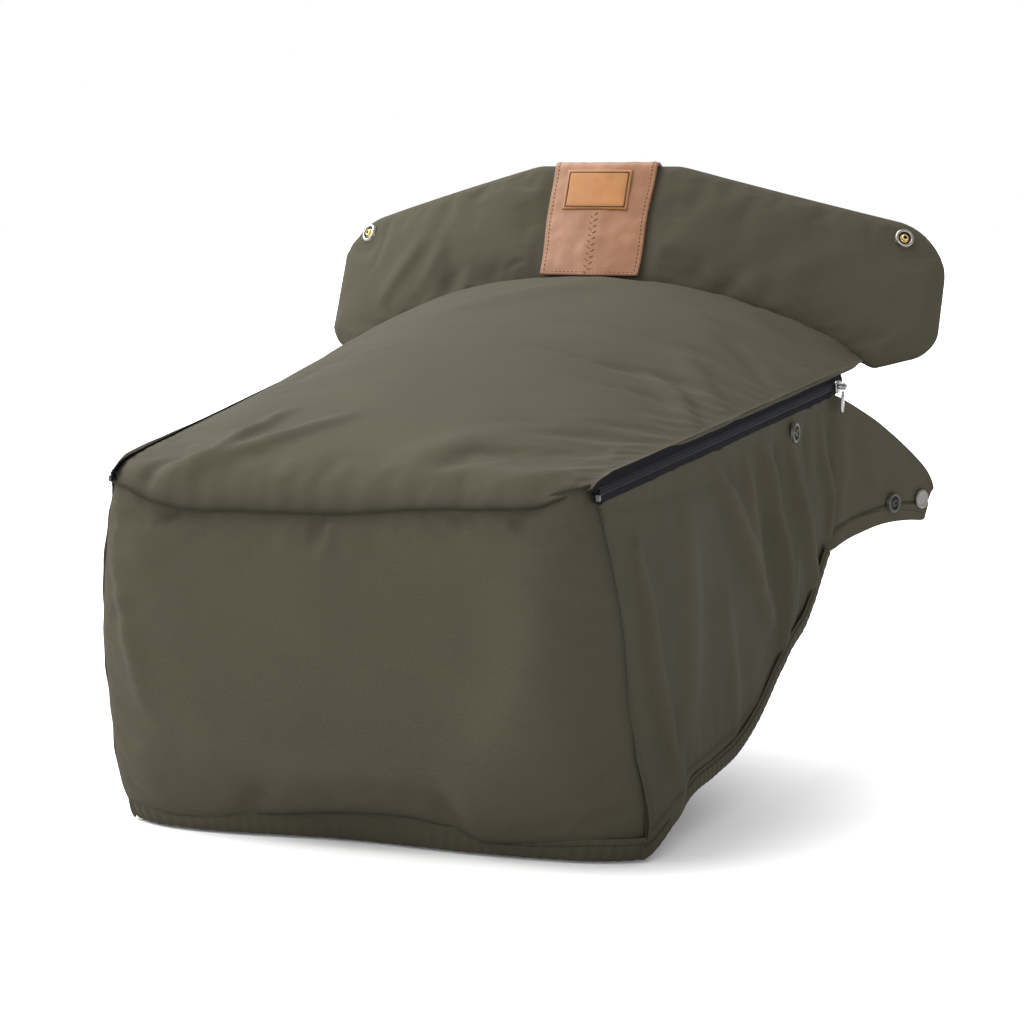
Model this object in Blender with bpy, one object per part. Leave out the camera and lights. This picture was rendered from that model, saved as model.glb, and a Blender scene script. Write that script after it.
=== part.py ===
"""Padded pram seat apron: a foot box, a zip-off padded cover, a wind collar and two side flaps.

Frame: metres, +Z up, +Y towards the seat, the toe end faces -Y, and the part is symmetric about x = 0.
The lowest point of the foot box is at z = 0.
"""

from math import cos, pi, radians, sin, sqrt

import bmesh
import bpy
from mathutils import Matrix, Vector

# Foot box
TOE_Y = -0.308              # outer face of the toe panel at its top seam
TOE_BOTTOM_Y = -0.250       # outer face of the toe panel at its hem
TOE_HALF_WIDTH = 0.163      # half width at the top seam
SIDE_SPREAD = 0.096         # half width gained per metre towards the seat
HEM_FLARE = 0.019           # extra half width at the hem of the toe end
FLARE_REACH = 0.330         # how far behind the toe seam the flare ends
FLARE_TOP_Z = 0.228         # the flare starts below the zip tape
TOE_BULGE = 0.012           # how far the toe panel stands proud at its middle
TOE_CORNER = 0.020          # how far the toe panel turns back round its corners
CORNER_POWER = 8
SIDE_START = 0.026          # from the toe panel's face to the front edge of the side panels
SIDE_END_Y = 0.1278         # rear edge of the side panels
PANEL_TO_TAPE = 0.0008      # gap between a side panel's top edge and the lower tape
# Lower rim of a side panel, as (y, z)
HEM_LINE = [(-0.228, 0.000), (-0.165, 0.029), (-0.055, 0.049), (0.035, 0.093), (0.128, 0.157)]
HEM_WIDTH = 0.013
ELASTIC = 0.0016            # thickness of the elastic in the hems
LINING_MARGIN = 0.002       # the lining and wadding end this far from a panel's edges
FOLD_MARGIN = 0.001         # the turned-up hem cloth ends this far above the hem
STRIP_MARGIN = 0.003        # the elastic ends this far from both edges of the hem
SHARE_INSET = 0.02          # the toe's inner layers end this share of the width from its corners

# Zip, straight on each side
ZIP_FRONT_Z = 0.241         # middle of the zip chain at the toe seam
ZIP_RISE = 0.086            # height gained per metre towards the seat
ZIP_END_Y = 0.139
TAPE_WIDTH = 0.009          # each half of the tape
CHAIN_HALF = 0.0026
LOWER_START = 0.014         # the lower tape and both chains start this far behind the toe seam
UPPER_START = 0.006         # the upper tape starts this far behind it
CHAIN_END = 0.006           # the chains end this far before the tapes
TAPE_THICK = 0.0010
CHAIN_THICK = 0.0020
STOP_START = 0.0110         # middle of the toe stop, behind the toe seam
STOP_HALF_LENGTH = 0.002
STOP_HEIGHTS = (-0.0042, -0.0006)
STOP_PROUD = 0.0004         # how far the stop stands out from the chain
SLIDER_REST_Y = 0.131

# Slider and puller, measured out from the side panel's face
PLATE_OUT = 0.0045          # back of the slider's shield
PLATE_THICK = 0.0016
PLATE_LENGTH = 0.0130
PLATE_WIDTH = 0.0100
POST_SIZE = (0.0014, 0.0022)
POST_OFFSET = 0.0038
BAR_OUT = 0.0092            # middle of the bar that the puller hangs on
BAR_THICK = 0.0012
BAR_LENGTH = 0.0086
BAR_WIDTH = 0.0020
EYE_INNER = 0.0016
EYE_OUTER = 0.0025
EYE_WIDTH = 0.0044
EYE_SIDES = 16
TAB_LENGTH = 0.0165
TAB_WIDTH = 0.0070
TAB_THICK = 0.0009

# Cover and crease
SEAM_Z = 0.246              # top of the cover at the ends of the toe seam
SEAM_SAG = 0.011            # how far the toe seam hangs at its middle
REAR_HALF_WIDTH = 0.2125
CREASE_Y = 0.176
CREASE_Z = 0.352
CREASE_DROP = 1.30          # drop of the crease per square metre of x
COVER_CROWN = 0.012         # extra height of the cover midway
COVER_FRONT_BULGE = 0.004   # how far the toe seam runs out at its middle
COVER_REAR_CLEAR = 0.0012   # gap between the cover's rear edge and the collar's face
COVER_INSET = 0.008         # the cover's inner layers end this share inside its edges
COVER_HINGE_AHEAD = 0.006   # the cover's hinge axis, ahead of the toe seam

# Wind collar
LEAN = 0.50                 # backward lean of the collar per metre of height
WRAP = 1.09                 # how fast the collar turns back towards its ends
WRAP_POWER = 1.7
COLLAR_TOP_Z = 0.441
COLLAR_FLAT = 0.058         # half width of the level stretch of its top edge
COLLAR_TOP_SLOPE = 0.267
COLLAR_HALF_WIDTH = 0.254
COLLAR_TOP_ROUND = 0.038
COLLAR_LOW_ROUND = 0.016
WING_RISE = 0.25            # how fast the lower edge rises outside the crease
COLLAR_SNAP_X = 0.2235
COLLAR_SNAP_Z = 0.382
COLLAR_PAD_MARGIN = 0.003
SNAP_BACK_SINK = 0.0024     # the rear cap of a collar snap sits this far into the bent back panel

# Side flaps
FLAP_HINGE = Vector((0.2065, 0.1300, 0.0))
FLAP_AZIMUTH = radians(23.5)
FLAP_GAP = 0.0015
FLAP_HINGE_Z = 0.157
FLAP_TOP_REACH = 0.124      # length along its top edge
FLAP_LOW_REACH = 0.112      # length along its lower edge
# Height of an edge at distance s from the hinge is a + b s + c s^2, given as (a, b, c)
FLAP_TOP_EDGE = (0.268, -0.40, -1.20)
FLAP_LOW_EDGE = (0.157, 0.40, -2.6)
FLAP_LINING_MARGIN = 0.001
FLAP_SNAP_REACH = 0.072
FLAP_CAP_REACH = 0.108
FLAP_SNAP_Z = 0.187

# Layers
GAP = 0.0005
CLOTH = 0.0012
LINING = 0.0010
COVER_PAD = 0.0060
TOE_PAD = 0.0040
COLLAR_PAD = 0.0080
LEATHER = 0.0015

SNAP_RADIUS = 0.0075
SNAP_SIDES = 16
RIM_HEIGHT = 0.0020
WELL_RADIUS = 0.0050
WELL_FLOOR = 0.0009
STUD_RADIUS = 0.0024
STUD_HEIGHT = 0.0026
CAP_HEIGHT = 0.0016
SIDE_SNAP_Y = 0.047
SIDE_SNAP_Z = 0.2515

STRAP_BOTTOM_HALF = 0.040
STRAP_TOP_HALF = 0.042
STRAP_CLEAR = 0.0016
STRAP_START = 0.003         # lower end of the strap, above the crease
STRAP_TURN_START = 0.002    # the strap leaves the collar's face this far below its top edge
STRAP_TURN_STEPS = 6
STRAP_TURN_ROUND = 0.0015
STRAP_BACK_LENGTH = 0.030
LABEL_X = (-0.029, 0.024)
LABEL_HEIGHTS = (0.058, 0.092)
LABEL_THICK = 0.0012


def clear_scene():
    for obj in list(bpy.data.objects):
        bpy.data.objects.remove(obj, do_unlink=True)


def material(name, colour, roughness, metallic=0.0):
    made = bpy.data.materials.new(name)
    made.use_nodes = True
    shader = made.node_tree.nodes["Principled BSDF"]
    shader.inputs["Base Color"].default_value = (*colour, 1.0)
    shader.inputs["Roughness"].default_value = roughness
    shader.inputs["Metallic"].default_value = metallic
    return made


LOOKS = {
    "canvas": ((0.085, 0.076, 0.058), 0.72, 0.0),
    "wadding": ((0.80, 0.80, 0.77), 0.95, 0.0),
    "lining": ((0.055, 0.052, 0.048), 0.85, 0.0),
    "elastic": ((0.75, 0.75, 0.73), 0.80, 0.0),
    "zip_tape": ((0.018, 0.018, 0.022), 0.75, 0.0),
    "zip_chain": ((0.022, 0.022, 0.026), 0.38, 0.0),
    "metal": ((0.62, 0.60, 0.56), 0.28, 1.0),
    "leather": ((0.42, 0.21, 0.12), 0.50, 0.0),
    "label": ((0.60, 0.33, 0.12), 0.48, 0.0),
}


def add_object(name, mesh, look):
    """Links a mesh under its node name, with a material of its own."""
    obj = bpy.data.objects.new(name, mesh)
    bpy.context.scene.collection.objects.link(obj)
    mesh.materials.append(material(name, *LOOKS[look]))
    return obj


def keep_in_place(obj, parent):
    """Parents an object whose mesh is drawn in the part's own frame."""
    obj.parent = parent
    obj.matrix_parent_inverse = parent.matrix_world.inverted()


def pivot(name, place):
    """An empty on a joint's axis, which the moving pieces hang from."""
    obj = bpy.data.objects.new(name, None)
    obj.location = place
    bpy.context.scene.collection.objects.link(obj)
    bpy.context.view_layer.update()
    return obj


def slab(name, outer, inner, columns, rows, look):
    """A closed body between two sheets, each a function of u and v from 0 to 1."""
    mesh = bpy.data.meshes.new(name)
    build = bmesh.new()
    grids = []
    for sheet in (outer, inner):
        grids.append(
            [
                [build.verts.new(sheet(i / columns, j / rows)) for j in range(rows + 1)]
                for i in range(columns + 1)
            ]
        )
    front, back = grids
    for i in range(columns):
        for j in range(rows):
            build.faces.new((front[i][j], front[i + 1][j], front[i + 1][j + 1], front[i][j + 1]))
            build.faces.new((back[i][j], back[i][j + 1], back[i + 1][j + 1], back[i + 1][j]))
    for i in range(columns):
        build.faces.new((front[i][0], back[i][0], back[i + 1][0], front[i + 1][0]))
        build.faces.new((front[i][rows], front[i + 1][rows], back[i + 1][rows], back[i][rows]))
    for j in range(rows):
        build.faces.new((front[0][j], front[0][j + 1], back[0][j + 1], back[0][j]))
        build.faces.new((front[columns][j], back[columns][j], back[columns][j + 1], front[columns][j + 1]))
    bmesh.ops.recalc_face_normals(build, faces=build.faces[:])
    build.to_mesh(mesh)
    build.free()
    if signed_volume(mesh) < 0:
        mesh.flip_normals()
    return add_object(name, mesh, look)


def signed_volume(mesh):
    mesh.calc_loop_triangles()
    total = 0.0
    for triangle in mesh.loop_triangles:
        a, b, c = (mesh.vertices[i].co for i in triangle.vertices)
        total += a.dot(b.cross(c))
    return total


def layer(name, surface, inward, offset, thickness, columns, rows, look):
    """One layer of a panel: the panel's surface moved inward by offset, with its own thickness."""

    def outer(u, v):
        return surface(u, v) + inward * offset

    def inner(u, v):
        return surface(u, v) + inward * (offset + thickness)

    return slab(name, outer, inner, columns, rows, look)


def lerp(a, b, t):
    return a + (b - a) * t


def along(points, y):
    """Height on a line of (y, z) points."""
    for (y0, z0), (y1, z1) in zip(points, points[1:]):
        if y <= y1:
            return lerp(z0, z1, max(0.0, (y - y0) / (y1 - y0)))
    return points[-1][1]


def half_width(y):
    return TOE_HALF_WIDTH + SIDE_SPREAD * (y - TOE_Y)


def zip_z(y):
    return ZIP_FRONT_Z + ZIP_RISE * (y - TOE_Y)


COVER_HINGE_Y = TOE_Y - COVER_HINGE_AHEAD
COVER_THICK = CLOTH + COVER_PAD + LINING + 2 * GAP
COVER_HINGE_Z = SEAM_Z - COVER_THICK


# Foot box ---------------------------------------------------------------------------------------


def toe_face(z):
    return lerp(TOE_BOTTOM_Y, TOE_Y, z / SEAM_Z)


def spread(u):
    """From -1 to 1 across a panel, with closer steps near its ends."""
    return sin(pi / 2 * (2 * u - 1))


def flare(y, z):
    """Extra half width below the zip: most at the hem of the toe end, none far behind it."""
    return HEM_FLARE * sqrt(max(0.0, 1 - z / FLARE_TOP_Z)) * max(0.0, 1 - (y - TOE_Y) / FLARE_REACH)


def seam_sag(side):
    return SEAM_SAG * (1 - side**2)


def toe_surface(top, bottom, inset=0.0):
    """The toe panel's outer face between two heights; inset is a share of its half width."""

    def surface(u, v):
        side = spread(u) * (1 - inset)
        z = lerp(bottom, top, v)
        if top > SEAM_Z / 2:
            z -= seam_sag(side) * v
        half = TOE_HALF_WIDTH + flare(toe_face(z), z)
        bulge = TOE_BULGE * (1 - side**2) * sin(pi * z / SEAM_Z)
        corner = TOE_CORNER * abs(side) ** CORNER_POWER
        return Vector((side * half, toe_face(z) - bulge + corner, z))

    return surface


def side_surface(sign, low, high, start=0.0, end=SIDE_END_Y):
    """A side panel's outer face between two lines, each a function of y."""

    def surface(u, v):
        first_y = lerp(toe_face(0.0) + SIDE_START + start, end, u)
        height = lerp(low(first_y), high(first_y), v)
        y = first_y + (toe_face(height) - toe_face(0.0)) * (1 - u)
        z = lerp(low(y), high(y), v)
        return Vector((sign * (half_width(y) + flare(y, z)), y, z))

    return surface


def hem_z(y):
    return along(HEM_LINE, y)


def build_foot_box():
    inward = Vector((0, 1, 0))
    top = COVER_HINGE_Z - 2 * GAP
    under = CLOTH + GAP
    shell = toe_surface(top, 0.0)
    padded = toe_surface(top - LINING_MARGIN, HEM_WIDTH + LINING_MARGIN, SHARE_INSET)
    folded = toe_surface(HEM_WIDTH, FOLD_MARGIN, SHARE_INSET)
    strip = toe_surface(HEM_WIDTH - STRIP_MARGIN, STRIP_MARGIN, SHARE_INSET)
    layer("toe_panel", shell, inward, 0.0, CLOTH, 24, 8, "canvas")
    layer("toe_wadding", padded, inward, under, TOE_PAD, 24, 8, "wadding")
    layer("toe_lining", padded, inward, under + TOE_PAD + GAP, LINING, 24, 8, "lining")
    layer("toe_hem_elastic", strip, inward, under, ELASTIC, 24, 1, "elastic")
    layer("toe_hem_fold", folded, inward, under + ELASTIC + GAP, LINING, 24, 1, "canvas")
    for side, sign in (("left", -1), ("right", 1)):
        build_side(side, sign)


def build_side(side, sign):
    inward = Vector((-sign, 0, 0))

    def top(y):
        return zip_z(y) - TAPE_WIDTH - PANEL_TO_TAPE

    def above_hem(height):
        return lambda y: hem_z(y) + height

    def between(low, high, margin):
        return side_surface(sign, low, high, margin, SIDE_END_Y - margin)

    under = CLOTH + GAP
    layer(f"side_panel_{side}", side_surface(sign, hem_z, top), inward, 0.0, CLOTH, 18, 5, "canvas")
    lining = between(above_hem(HEM_WIDTH + LINING_MARGIN), top, LINING_MARGIN)
    layer(f"side_lining_{side}", lining, inward, under, LINING, 18, 5, "lining")
    strip = between(above_hem(STRIP_MARGIN), above_hem(HEM_WIDTH - STRIP_MARGIN), 2 * LINING_MARGIN)
    layer(f"side_hem_elastic_{side}", strip, inward, under, ELASTIC, 18, 1, "elastic")
    fold = between(above_hem(FOLD_MARGIN), above_hem(HEM_WIDTH), LINING_MARGIN)
    layer(f"side_hem_fold_{side}", fold, inward, under + ELASTIC + GAP, LINING, 18, 1, "canvas")


# Zip --------------------------------------------------------------------------------------------


def zip_strip(name, sign, heights, out, look, start, end):
    """A straight strip beside the zip chain: heights are from the chain's middle, out from the side panel."""

    def sheet(distance):
        def surface(u, v):
            y = lerp(TOE_Y + start, ZIP_END_Y - end, u)
            return Vector((sign * (half_width(y) + distance), y, zip_z(y) + lerp(*heights, v)))

        return surface

    return slab(name, sheet(out[1]), sheet(out[0]), 8, 1, look)


def zip_direction(sign):
    """Unit vector along the zip, from the seat end to the toe end."""
    return Vector((-sign * SIDE_SPREAD, -1.0, -ZIP_RISE)).normalized()


def build_zips(cover_pivot):
    tape_out = GAP, GAP + TAPE_THICK
    chain_out = tape_out[1] + GAP, tape_out[1] + GAP + CHAIN_THICK
    tape = tape_out, "zip_tape"
    chain = chain_out, "zip_chain"
    for side, sign in (("left", -1), ("right", 1)):
        zip_strip(f"zip_tape_lower_{side}", sign, (-TAPE_WIDTH, -GAP / 2), *tape, LOWER_START, 0.0)
        zip_strip(f"zip_chain_lower_{side}", sign, (-CHAIN_HALF, -GAP / 2), *chain, LOWER_START, CHAIN_END)
        moving = [
            zip_strip(f"zip_tape_upper_{side}", sign, (GAP / 2, TAPE_WIDTH), *tape, UPPER_START, 0.0),
            zip_strip(f"zip_chain_upper_{side}", sign, (GAP / 2, CHAIN_HALF), *chain, LOWER_START, CHAIN_END),
        ]
        for piece in moving:
            keep_in_place(piece, cover_pivot)
        build_stop(f"zip_toe_stop_{side}", sign, chain_out)
        build_slider(side, sign)


def build_stop(name, sign, out):
    """The metal clip that closes the toe end of the chain, on the lower tape."""

    def sheet(distance):
        def surface(u, v):
            y = TOE_Y + STOP_START + lerp(-STOP_HALF_LENGTH, STOP_HALF_LENGTH, u)
            return Vector((sign * (half_width(y) + distance), y, zip_z(y) + lerp(*STOP_HEIGHTS, v)))

        return surface

    slab(name, sheet(out[1] + STOP_PROUD), sheet(out[0]), 1, 1, "metal")


def box(name, size, centre, look, helper=False):
    mesh = bpy.data.meshes.new(name)
    build = bmesh.new()
    bmesh.ops.create_cube(build, size=1.0, matrix=Matrix.Translation(centre) @ Matrix.Diagonal((*size, 1)))
    build.to_mesh(mesh)
    build.free()
    obj = add_object(name, mesh, look)
    if helper:
        obj.hide_render = True
        obj.display_type = "WIRE"
    return obj


def unite(obj, other, place):
    """Adds a hidden helper solid to obj, both drawn in the same local frame."""
    other.matrix_world = place
    joined = obj.modifiers.new("join", "BOOLEAN")
    joined.operation = "UNION"
    joined.object = other


def slider_frame(sign, y):
    """Local axes on the zip: X out of the side, Y along the zip, Z up the tape."""
    toe_way = zip_direction(sign)
    out = Vector((sign, -SIDE_SPREAD, 0)).normalized()
    out = (out - toe_way * out.dot(toe_way)).normalized()
    up = Vector((0, 0, 1))
    up = (up - toe_way * up.dot(toe_way) - out * up.dot(out)).normalized()
    place = Vector((sign * half_width(y), y, zip_z(y)))
    return Matrix.Translation(place) @ Matrix((out, -toe_way, up)).transposed().to_4x4()


def build_slider(side, sign):
    place = slider_frame(sign, SLIDER_REST_Y)
    slider_pivot = pivot(f"slider_frame_{side}", place.translation)
    plate_middle = PLATE_OUT + PLATE_THICK / 2
    plate_size = (PLATE_THICK, PLATE_LENGTH, PLATE_WIDTH)
    slider = box(f"zip_slider_{side}", plate_size, (plate_middle, 0, 0), "metal")
    slider.matrix_world = place
    post_height = BAR_OUT + BAR_THICK / 2 - plate_middle
    post_middle = plate_middle + post_height / 2
    for end in (-1, 1):
        post_place = (post_middle, end * POST_OFFSET, 0)
        post = box(f"slider_post_{side}_{end}", (post_height, *POST_SIZE), post_place, "metal", True)
        unite(slider, post, place)
    bar = box(f"slider_bar_{side}", (BAR_THICK, BAR_LENGTH, BAR_WIDTH), (BAR_OUT, 0, 0), "metal", True)
    unite(slider, bar, place)
    slider.parent = slider_pivot
    slider.matrix_parent_inverse = slider_pivot.matrix_world.inverted()

    puller = puller_eye(f"zip_puller_{side}")
    hang = Matrix.Translation(place @ Vector((BAR_OUT, 0, 0))) @ place.to_3x3().to_4x4()
    puller.matrix_world = hang
    tab_middle = EYE_INNER + TAB_THICK / 2 + TAB_LENGTH / 2
    tab = box(f"puller_tab_{side}", (TAB_THICK, TAB_WIDTH, TAB_LENGTH), (0, 0, -tab_middle), "metal", True)
    unite(puller, tab, hang)


def puller_eye(name):
    """The short tube round the local Y axis that the puller hangs by."""
    mesh = bpy.data.meshes.new(name)
    build = bmesh.new()
    loops = []
    half = EYE_WIDTH / 2
    for radius, y in ((EYE_OUTER, -half), (EYE_OUTER, half), (EYE_INNER, half), (EYE_INNER, -half)):
        turn = [2 * pi * k / EYE_SIDES for k in range(EYE_SIDES)]
        loops.append([build.verts.new((radius * cos(a), y, radius * sin(a))) for a in turn])
    for here, there in zip(loops, loops[1:] + loops[:1]):
        for k in range(EYE_SIDES):
            after = (k + 1) % EYE_SIDES
            build.faces.new((here[k], here[after], there[after], there[k]))
    bmesh.ops.recalc_face_normals(build, faces=build.faces[:])
    build.to_mesh(mesh)
    build.free()
    if signed_volume(mesh) < 0:
        mesh.flip_normals()
    return add_object(name, mesh, "metal")


# Cover ------------------------------------------------------------------------------------------


def wrap(x):
    return WRAP * abs(x) ** WRAP_POWER


def crease_z(x):
    return CREASE_Z - CREASE_DROP * x**2


def collar_y(x, z):
    """Front face of the wind collar."""
    return CREASE_Y + LEAN * (z - CREASE_Z) + wrap(x)


def cover_surface(inset):
    """The cover's upper face, from the toe seam to the crease; inset is a share of its width and length."""

    def surface(u, v):
        side = spread(u) * (1 - 2 * inset)
        v = lerp(inset, 1 - inset, v)
        front_y = TOE_Y - COVER_FRONT_BULGE * (1 - side**2) + TOE_CORNER * abs(side) ** CORNER_POWER
        front = Vector((0, front_y, SEAM_Z - seam_sag(side)))
        x = side * REAR_HALF_WIDTH
        rear = Vector((0, collar_y(x, crease_z(x)) - COVER_REAR_CLEAR, crease_z(x)))
        place = front.lerp(rear, v)
        place.x = side * half_width(place.y)
        place.z += COVER_CROWN * sin(pi * v) * (1 - side**2)
        return place

    return surface


def build_cover(cover_pivot):
    down = Vector((0, 0, -1))
    inner = cover_surface(COVER_INSET)
    under = CLOTH + GAP
    pieces = [
        layer("cover_panel", cover_surface(0.0), down, 0.0, CLOTH, 20, 14, "canvas"),
        layer("cover_wadding", inner, down, under, COVER_PAD, 20, 14, "wadding"),
        layer("cover_lining", inner, down, under + COVER_PAD + GAP, LINING, 20, 14, "lining"),
    ]
    for piece in pieces:
        keep_in_place(piece, cover_pivot)


# Wind collar ------------------------------------------------------------------------------------

COLLAR_BACKWARD = Vector((0, 1, -LEAN)).normalized()
COLLAR_UPWARD = Vector((0, LEAN, 1)).normalized()
COLLAR_THICK = 2 * CLOTH + COLLAR_PAD + 2 * GAP
COLLAR_RISE = (COLLAR_TOP_Z - CREASE_Z) * sqrt(1 + LEAN**2)


def collar_top(x):
    x = abs(x)
    start = COLLAR_HALF_WIDTH - COLLAR_TOP_ROUND
    rounding = COLLAR_TOP_ROUND - sqrt(max(0.0, COLLAR_TOP_ROUND**2 - max(0.0, x - start) ** 2))
    return COLLAR_TOP_Z - COLLAR_TOP_SLOPE * max(0.0, x - COLLAR_FLAT) - rounding


def collar_bottom(x):
    x = abs(x)
    wing = max(0.0, x - REAR_HALF_WIDTH)
    start = COLLAR_HALF_WIDTH - COLLAR_LOW_ROUND
    rounding = COLLAR_LOW_ROUND - sqrt(max(0.0, COLLAR_LOW_ROUND**2 - max(0.0, x - start) ** 2))
    return crease_z(min(x, REAR_HALF_WIDTH)) + WING_RISE * wing + rounding


def collar_surface(inset):
    def surface(u, v):
        reach = COLLAR_HALF_WIDTH - inset
        x = reach * spread(u)
        z = lerp(collar_bottom(x) + inset, collar_top(x) - inset, v)
        return Vector((x, collar_y(x, z), z))

    return surface


def build_collar(collar_pivot):
    back = COLLAR_BACKWARD
    shell = collar_surface(0.0)
    padded = collar_surface(COLLAR_PAD_MARGIN)
    under = CLOTH + GAP
    pieces = [
        layer("collar_front_panel", shell, back, 0.0, CLOTH, 26, 5, "canvas"),
        layer("collar_wadding", padded, back, under, COLLAR_PAD, 26, 5, "wadding"),
        layer("collar_back_panel", shell, back, under + COLLAR_PAD + GAP, CLOTH, 26, 5, "canvas"),
        build_strap(),
        build_label(),
    ]
    for side, sign in (("left", -1), ("right", 1)):
        x = sign * COLLAR_SNAP_X
        face = Vector((x, collar_y(x, COLLAR_SNAP_Z), COLLAR_SNAP_Z))
        slope = WRAP * WRAP_POWER * COLLAR_SNAP_X ** (WRAP_POWER - 1)
        outward = Vector((sign * slope, -1, LEAN)).normalized()
        pieces.append(snap(f"collar_snap_{side}", face + outward * 2 * GAP, outward, STUD))
        behind = face + back * COLLAR_THICK - outward * SNAP_BACK_SINK
        pieces.append(snap(f"collar_snap_back_{side}", behind, -outward, CAP))
    for piece in pieces:
        keep_in_place(piece, collar_pivot)


def strap_path():
    """The strap's run over the collar, as (height along the collar, depth from its front face, facing)."""
    front = -STRAP_CLEAR
    behind = COLLAR_THICK + STRAP_CLEAR
    turn_start = COLLAR_RISE - STRAP_TURN_START
    path = [(STRAP_START, front, 0.0), (COLLAR_RISE / 2, front, 0.0), (turn_start, front, 0.0)]
    for k in range(1, STRAP_TURN_STEPS):
        turn = pi * k / STRAP_TURN_STEPS
        height = COLLAR_RISE + STRAP_CLEAR + STRAP_TURN_ROUND * sin(turn)
        path.append((height, (front + behind) / 2 - (behind - front) / 2 * cos(turn), turn))
    path.append((turn_start, behind, pi))
    path.append((COLLAR_RISE - STRAP_BACK_LENGTH, behind, pi))
    return path


def collar_point(x, along_height, depth):
    base = Vector((x, CREASE_Y + wrap(x), CREASE_Z))
    return base + COLLAR_UPWARD * along_height + COLLAR_BACKWARD * depth


def build_strap():
    path = strap_path()
    rows = len(path) - 1

    def sheet(out):
        def surface(u, v):
            height, depth, turn = path[round(v * rows)]
            half = lerp(STRAP_BOTTOM_HALF, STRAP_TOP_HALF, min(1.0, height / COLLAR_RISE))
            x = (2 * u - 1) * half
            facing = -COLLAR_BACKWARD * cos(turn) + COLLAR_UPWARD * sin(turn)
            return collar_point(x, height, depth) + facing * out

        return surface

    return slab("leather_strap", sheet(LEATHER), sheet(0.0), 8, rows, "leather")


def build_label():
    clear = STRAP_CLEAR + LEATHER + 2 * GAP

    def sheet(out):
        def surface(u, v):
            return collar_point(lerp(*LABEL_X, u), lerp(*LABEL_HEIGHTS, v), -clear - out)

        return surface

    return slab("leather_label", sheet(LABEL_THICK), sheet(0.0), 6, 2, "label")


# Press snaps: each is a turned profile of (radius, height) -----------------------------------------

STUD = [
    (0.0, 0.0),
    (SNAP_RADIUS, 0.0),
    (SNAP_RADIUS, RIM_HEIGHT - 0.0008),
    (SNAP_RADIUS - 0.0009, RIM_HEIGHT),
    (WELL_RADIUS, RIM_HEIGHT),
    (WELL_RADIUS, WELL_FLOOR),
    (STUD_RADIUS, WELL_FLOOR),
    (STUD_RADIUS, STUD_HEIGHT),
    (0.0, STUD_HEIGHT),
]
CAP = [
    (0.0, 0.0),
    (SNAP_RADIUS, 0.0),
    (SNAP_RADIUS, CAP_HEIGHT / 2),
    (SNAP_RADIUS - CAP_HEIGHT, CAP_HEIGHT),
    (0.0, CAP_HEIGHT),
]


def snap(name, place, outward, profile):
    """A press snap turned about its outward axis, with its back at place."""
    mesh = bpy.data.meshes.new(name)
    build = bmesh.new()
    rings = []
    for radius, height in profile:
        if radius == 0.0:
            rings.append([build.verts.new((0, 0, height))])
            continue
        turn = [2 * pi * k / SNAP_SIDES for k in range(SNAP_SIDES)]
        rings.append([build.verts.new((radius * cos(a), radius * sin(a), height)) for a in turn])
    for low, high in zip(rings, rings[1:]):
        for k in range(SNAP_SIDES):
            after = (k + 1) % SNAP_SIDES
            if len(low) == 1:
                build.faces.new((low[0], high[after], high[k]))
            elif len(high) == 1:
                build.faces.new((low[k], low[after], high[0]))
            else:
                build.faces.new((low[k], low[after], high[after], high[k]))
    bmesh.ops.recalc_face_normals(build, faces=build.faces[:])
    build.to_mesh(mesh)
    build.free()
    if signed_volume(mesh) < 0:
        mesh.flip_normals()
    obj = add_object(name, mesh, "metal")
    obj.matrix_world = Matrix.Translation(place) @ outward.to_track_quat("Z", "Y").to_matrix().to_4x4()
    bpy.context.view_layer.update()
    return obj


def build_side_snaps():
    for side, sign in (("left", -1), ("right", 1)):
        outward = Vector((sign, -SIDE_SPREAD, 0)).normalized()
        face = Vector((sign * half_width(SIDE_SNAP_Y), SIDE_SNAP_Y, SIDE_SNAP_Z))
        snap(f"side_snap_{side}", face + outward * 2 * GAP, outward, STUD)
        behind = face - outward * (CLOTH + LINING + 3 * GAP)
        snap(f"side_snap_back_{side}", behind, -outward, CAP)


# Side flaps -------------------------------------------------------------------------------------


def flap_axes(sign):
    """A flap's hinge foot, the way it reaches, and the way its outer face looks."""
    hinge = Vector((sign * FLAP_HINGE.x, FLAP_HINGE.y, 0))
    reach = Vector((sign * sin(FLAP_AZIMUTH), cos(FLAP_AZIMUTH), 0))
    outward = Vector((sign * cos(FLAP_AZIMUTH), -sin(FLAP_AZIMUTH), 0))
    return hinge, reach, outward


def edge_height(edge, s):
    start, slope, bend = edge
    return start + slope * s + bend * s**2


def flap_surface(sign, inset=0.0):
    """A flap's outer face in its own plane: a rounded tongue that tapers to the seat end."""
    hinge, reach, _ = flap_axes(sign)

    def surface(u, v):
        high_s = lerp(FLAP_GAP + inset, FLAP_TOP_REACH - inset, u)
        low_s = lerp(FLAP_GAP + inset, FLAP_LOW_REACH - inset, u)
        high = edge_height(FLAP_TOP_EDGE, high_s) - inset
        low = edge_height(FLAP_LOW_EDGE, low_s) + inset
        return hinge + reach * lerp(low_s, high_s, v) + Vector((0, 0, lerp(low, high, v)))

    return surface


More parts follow.
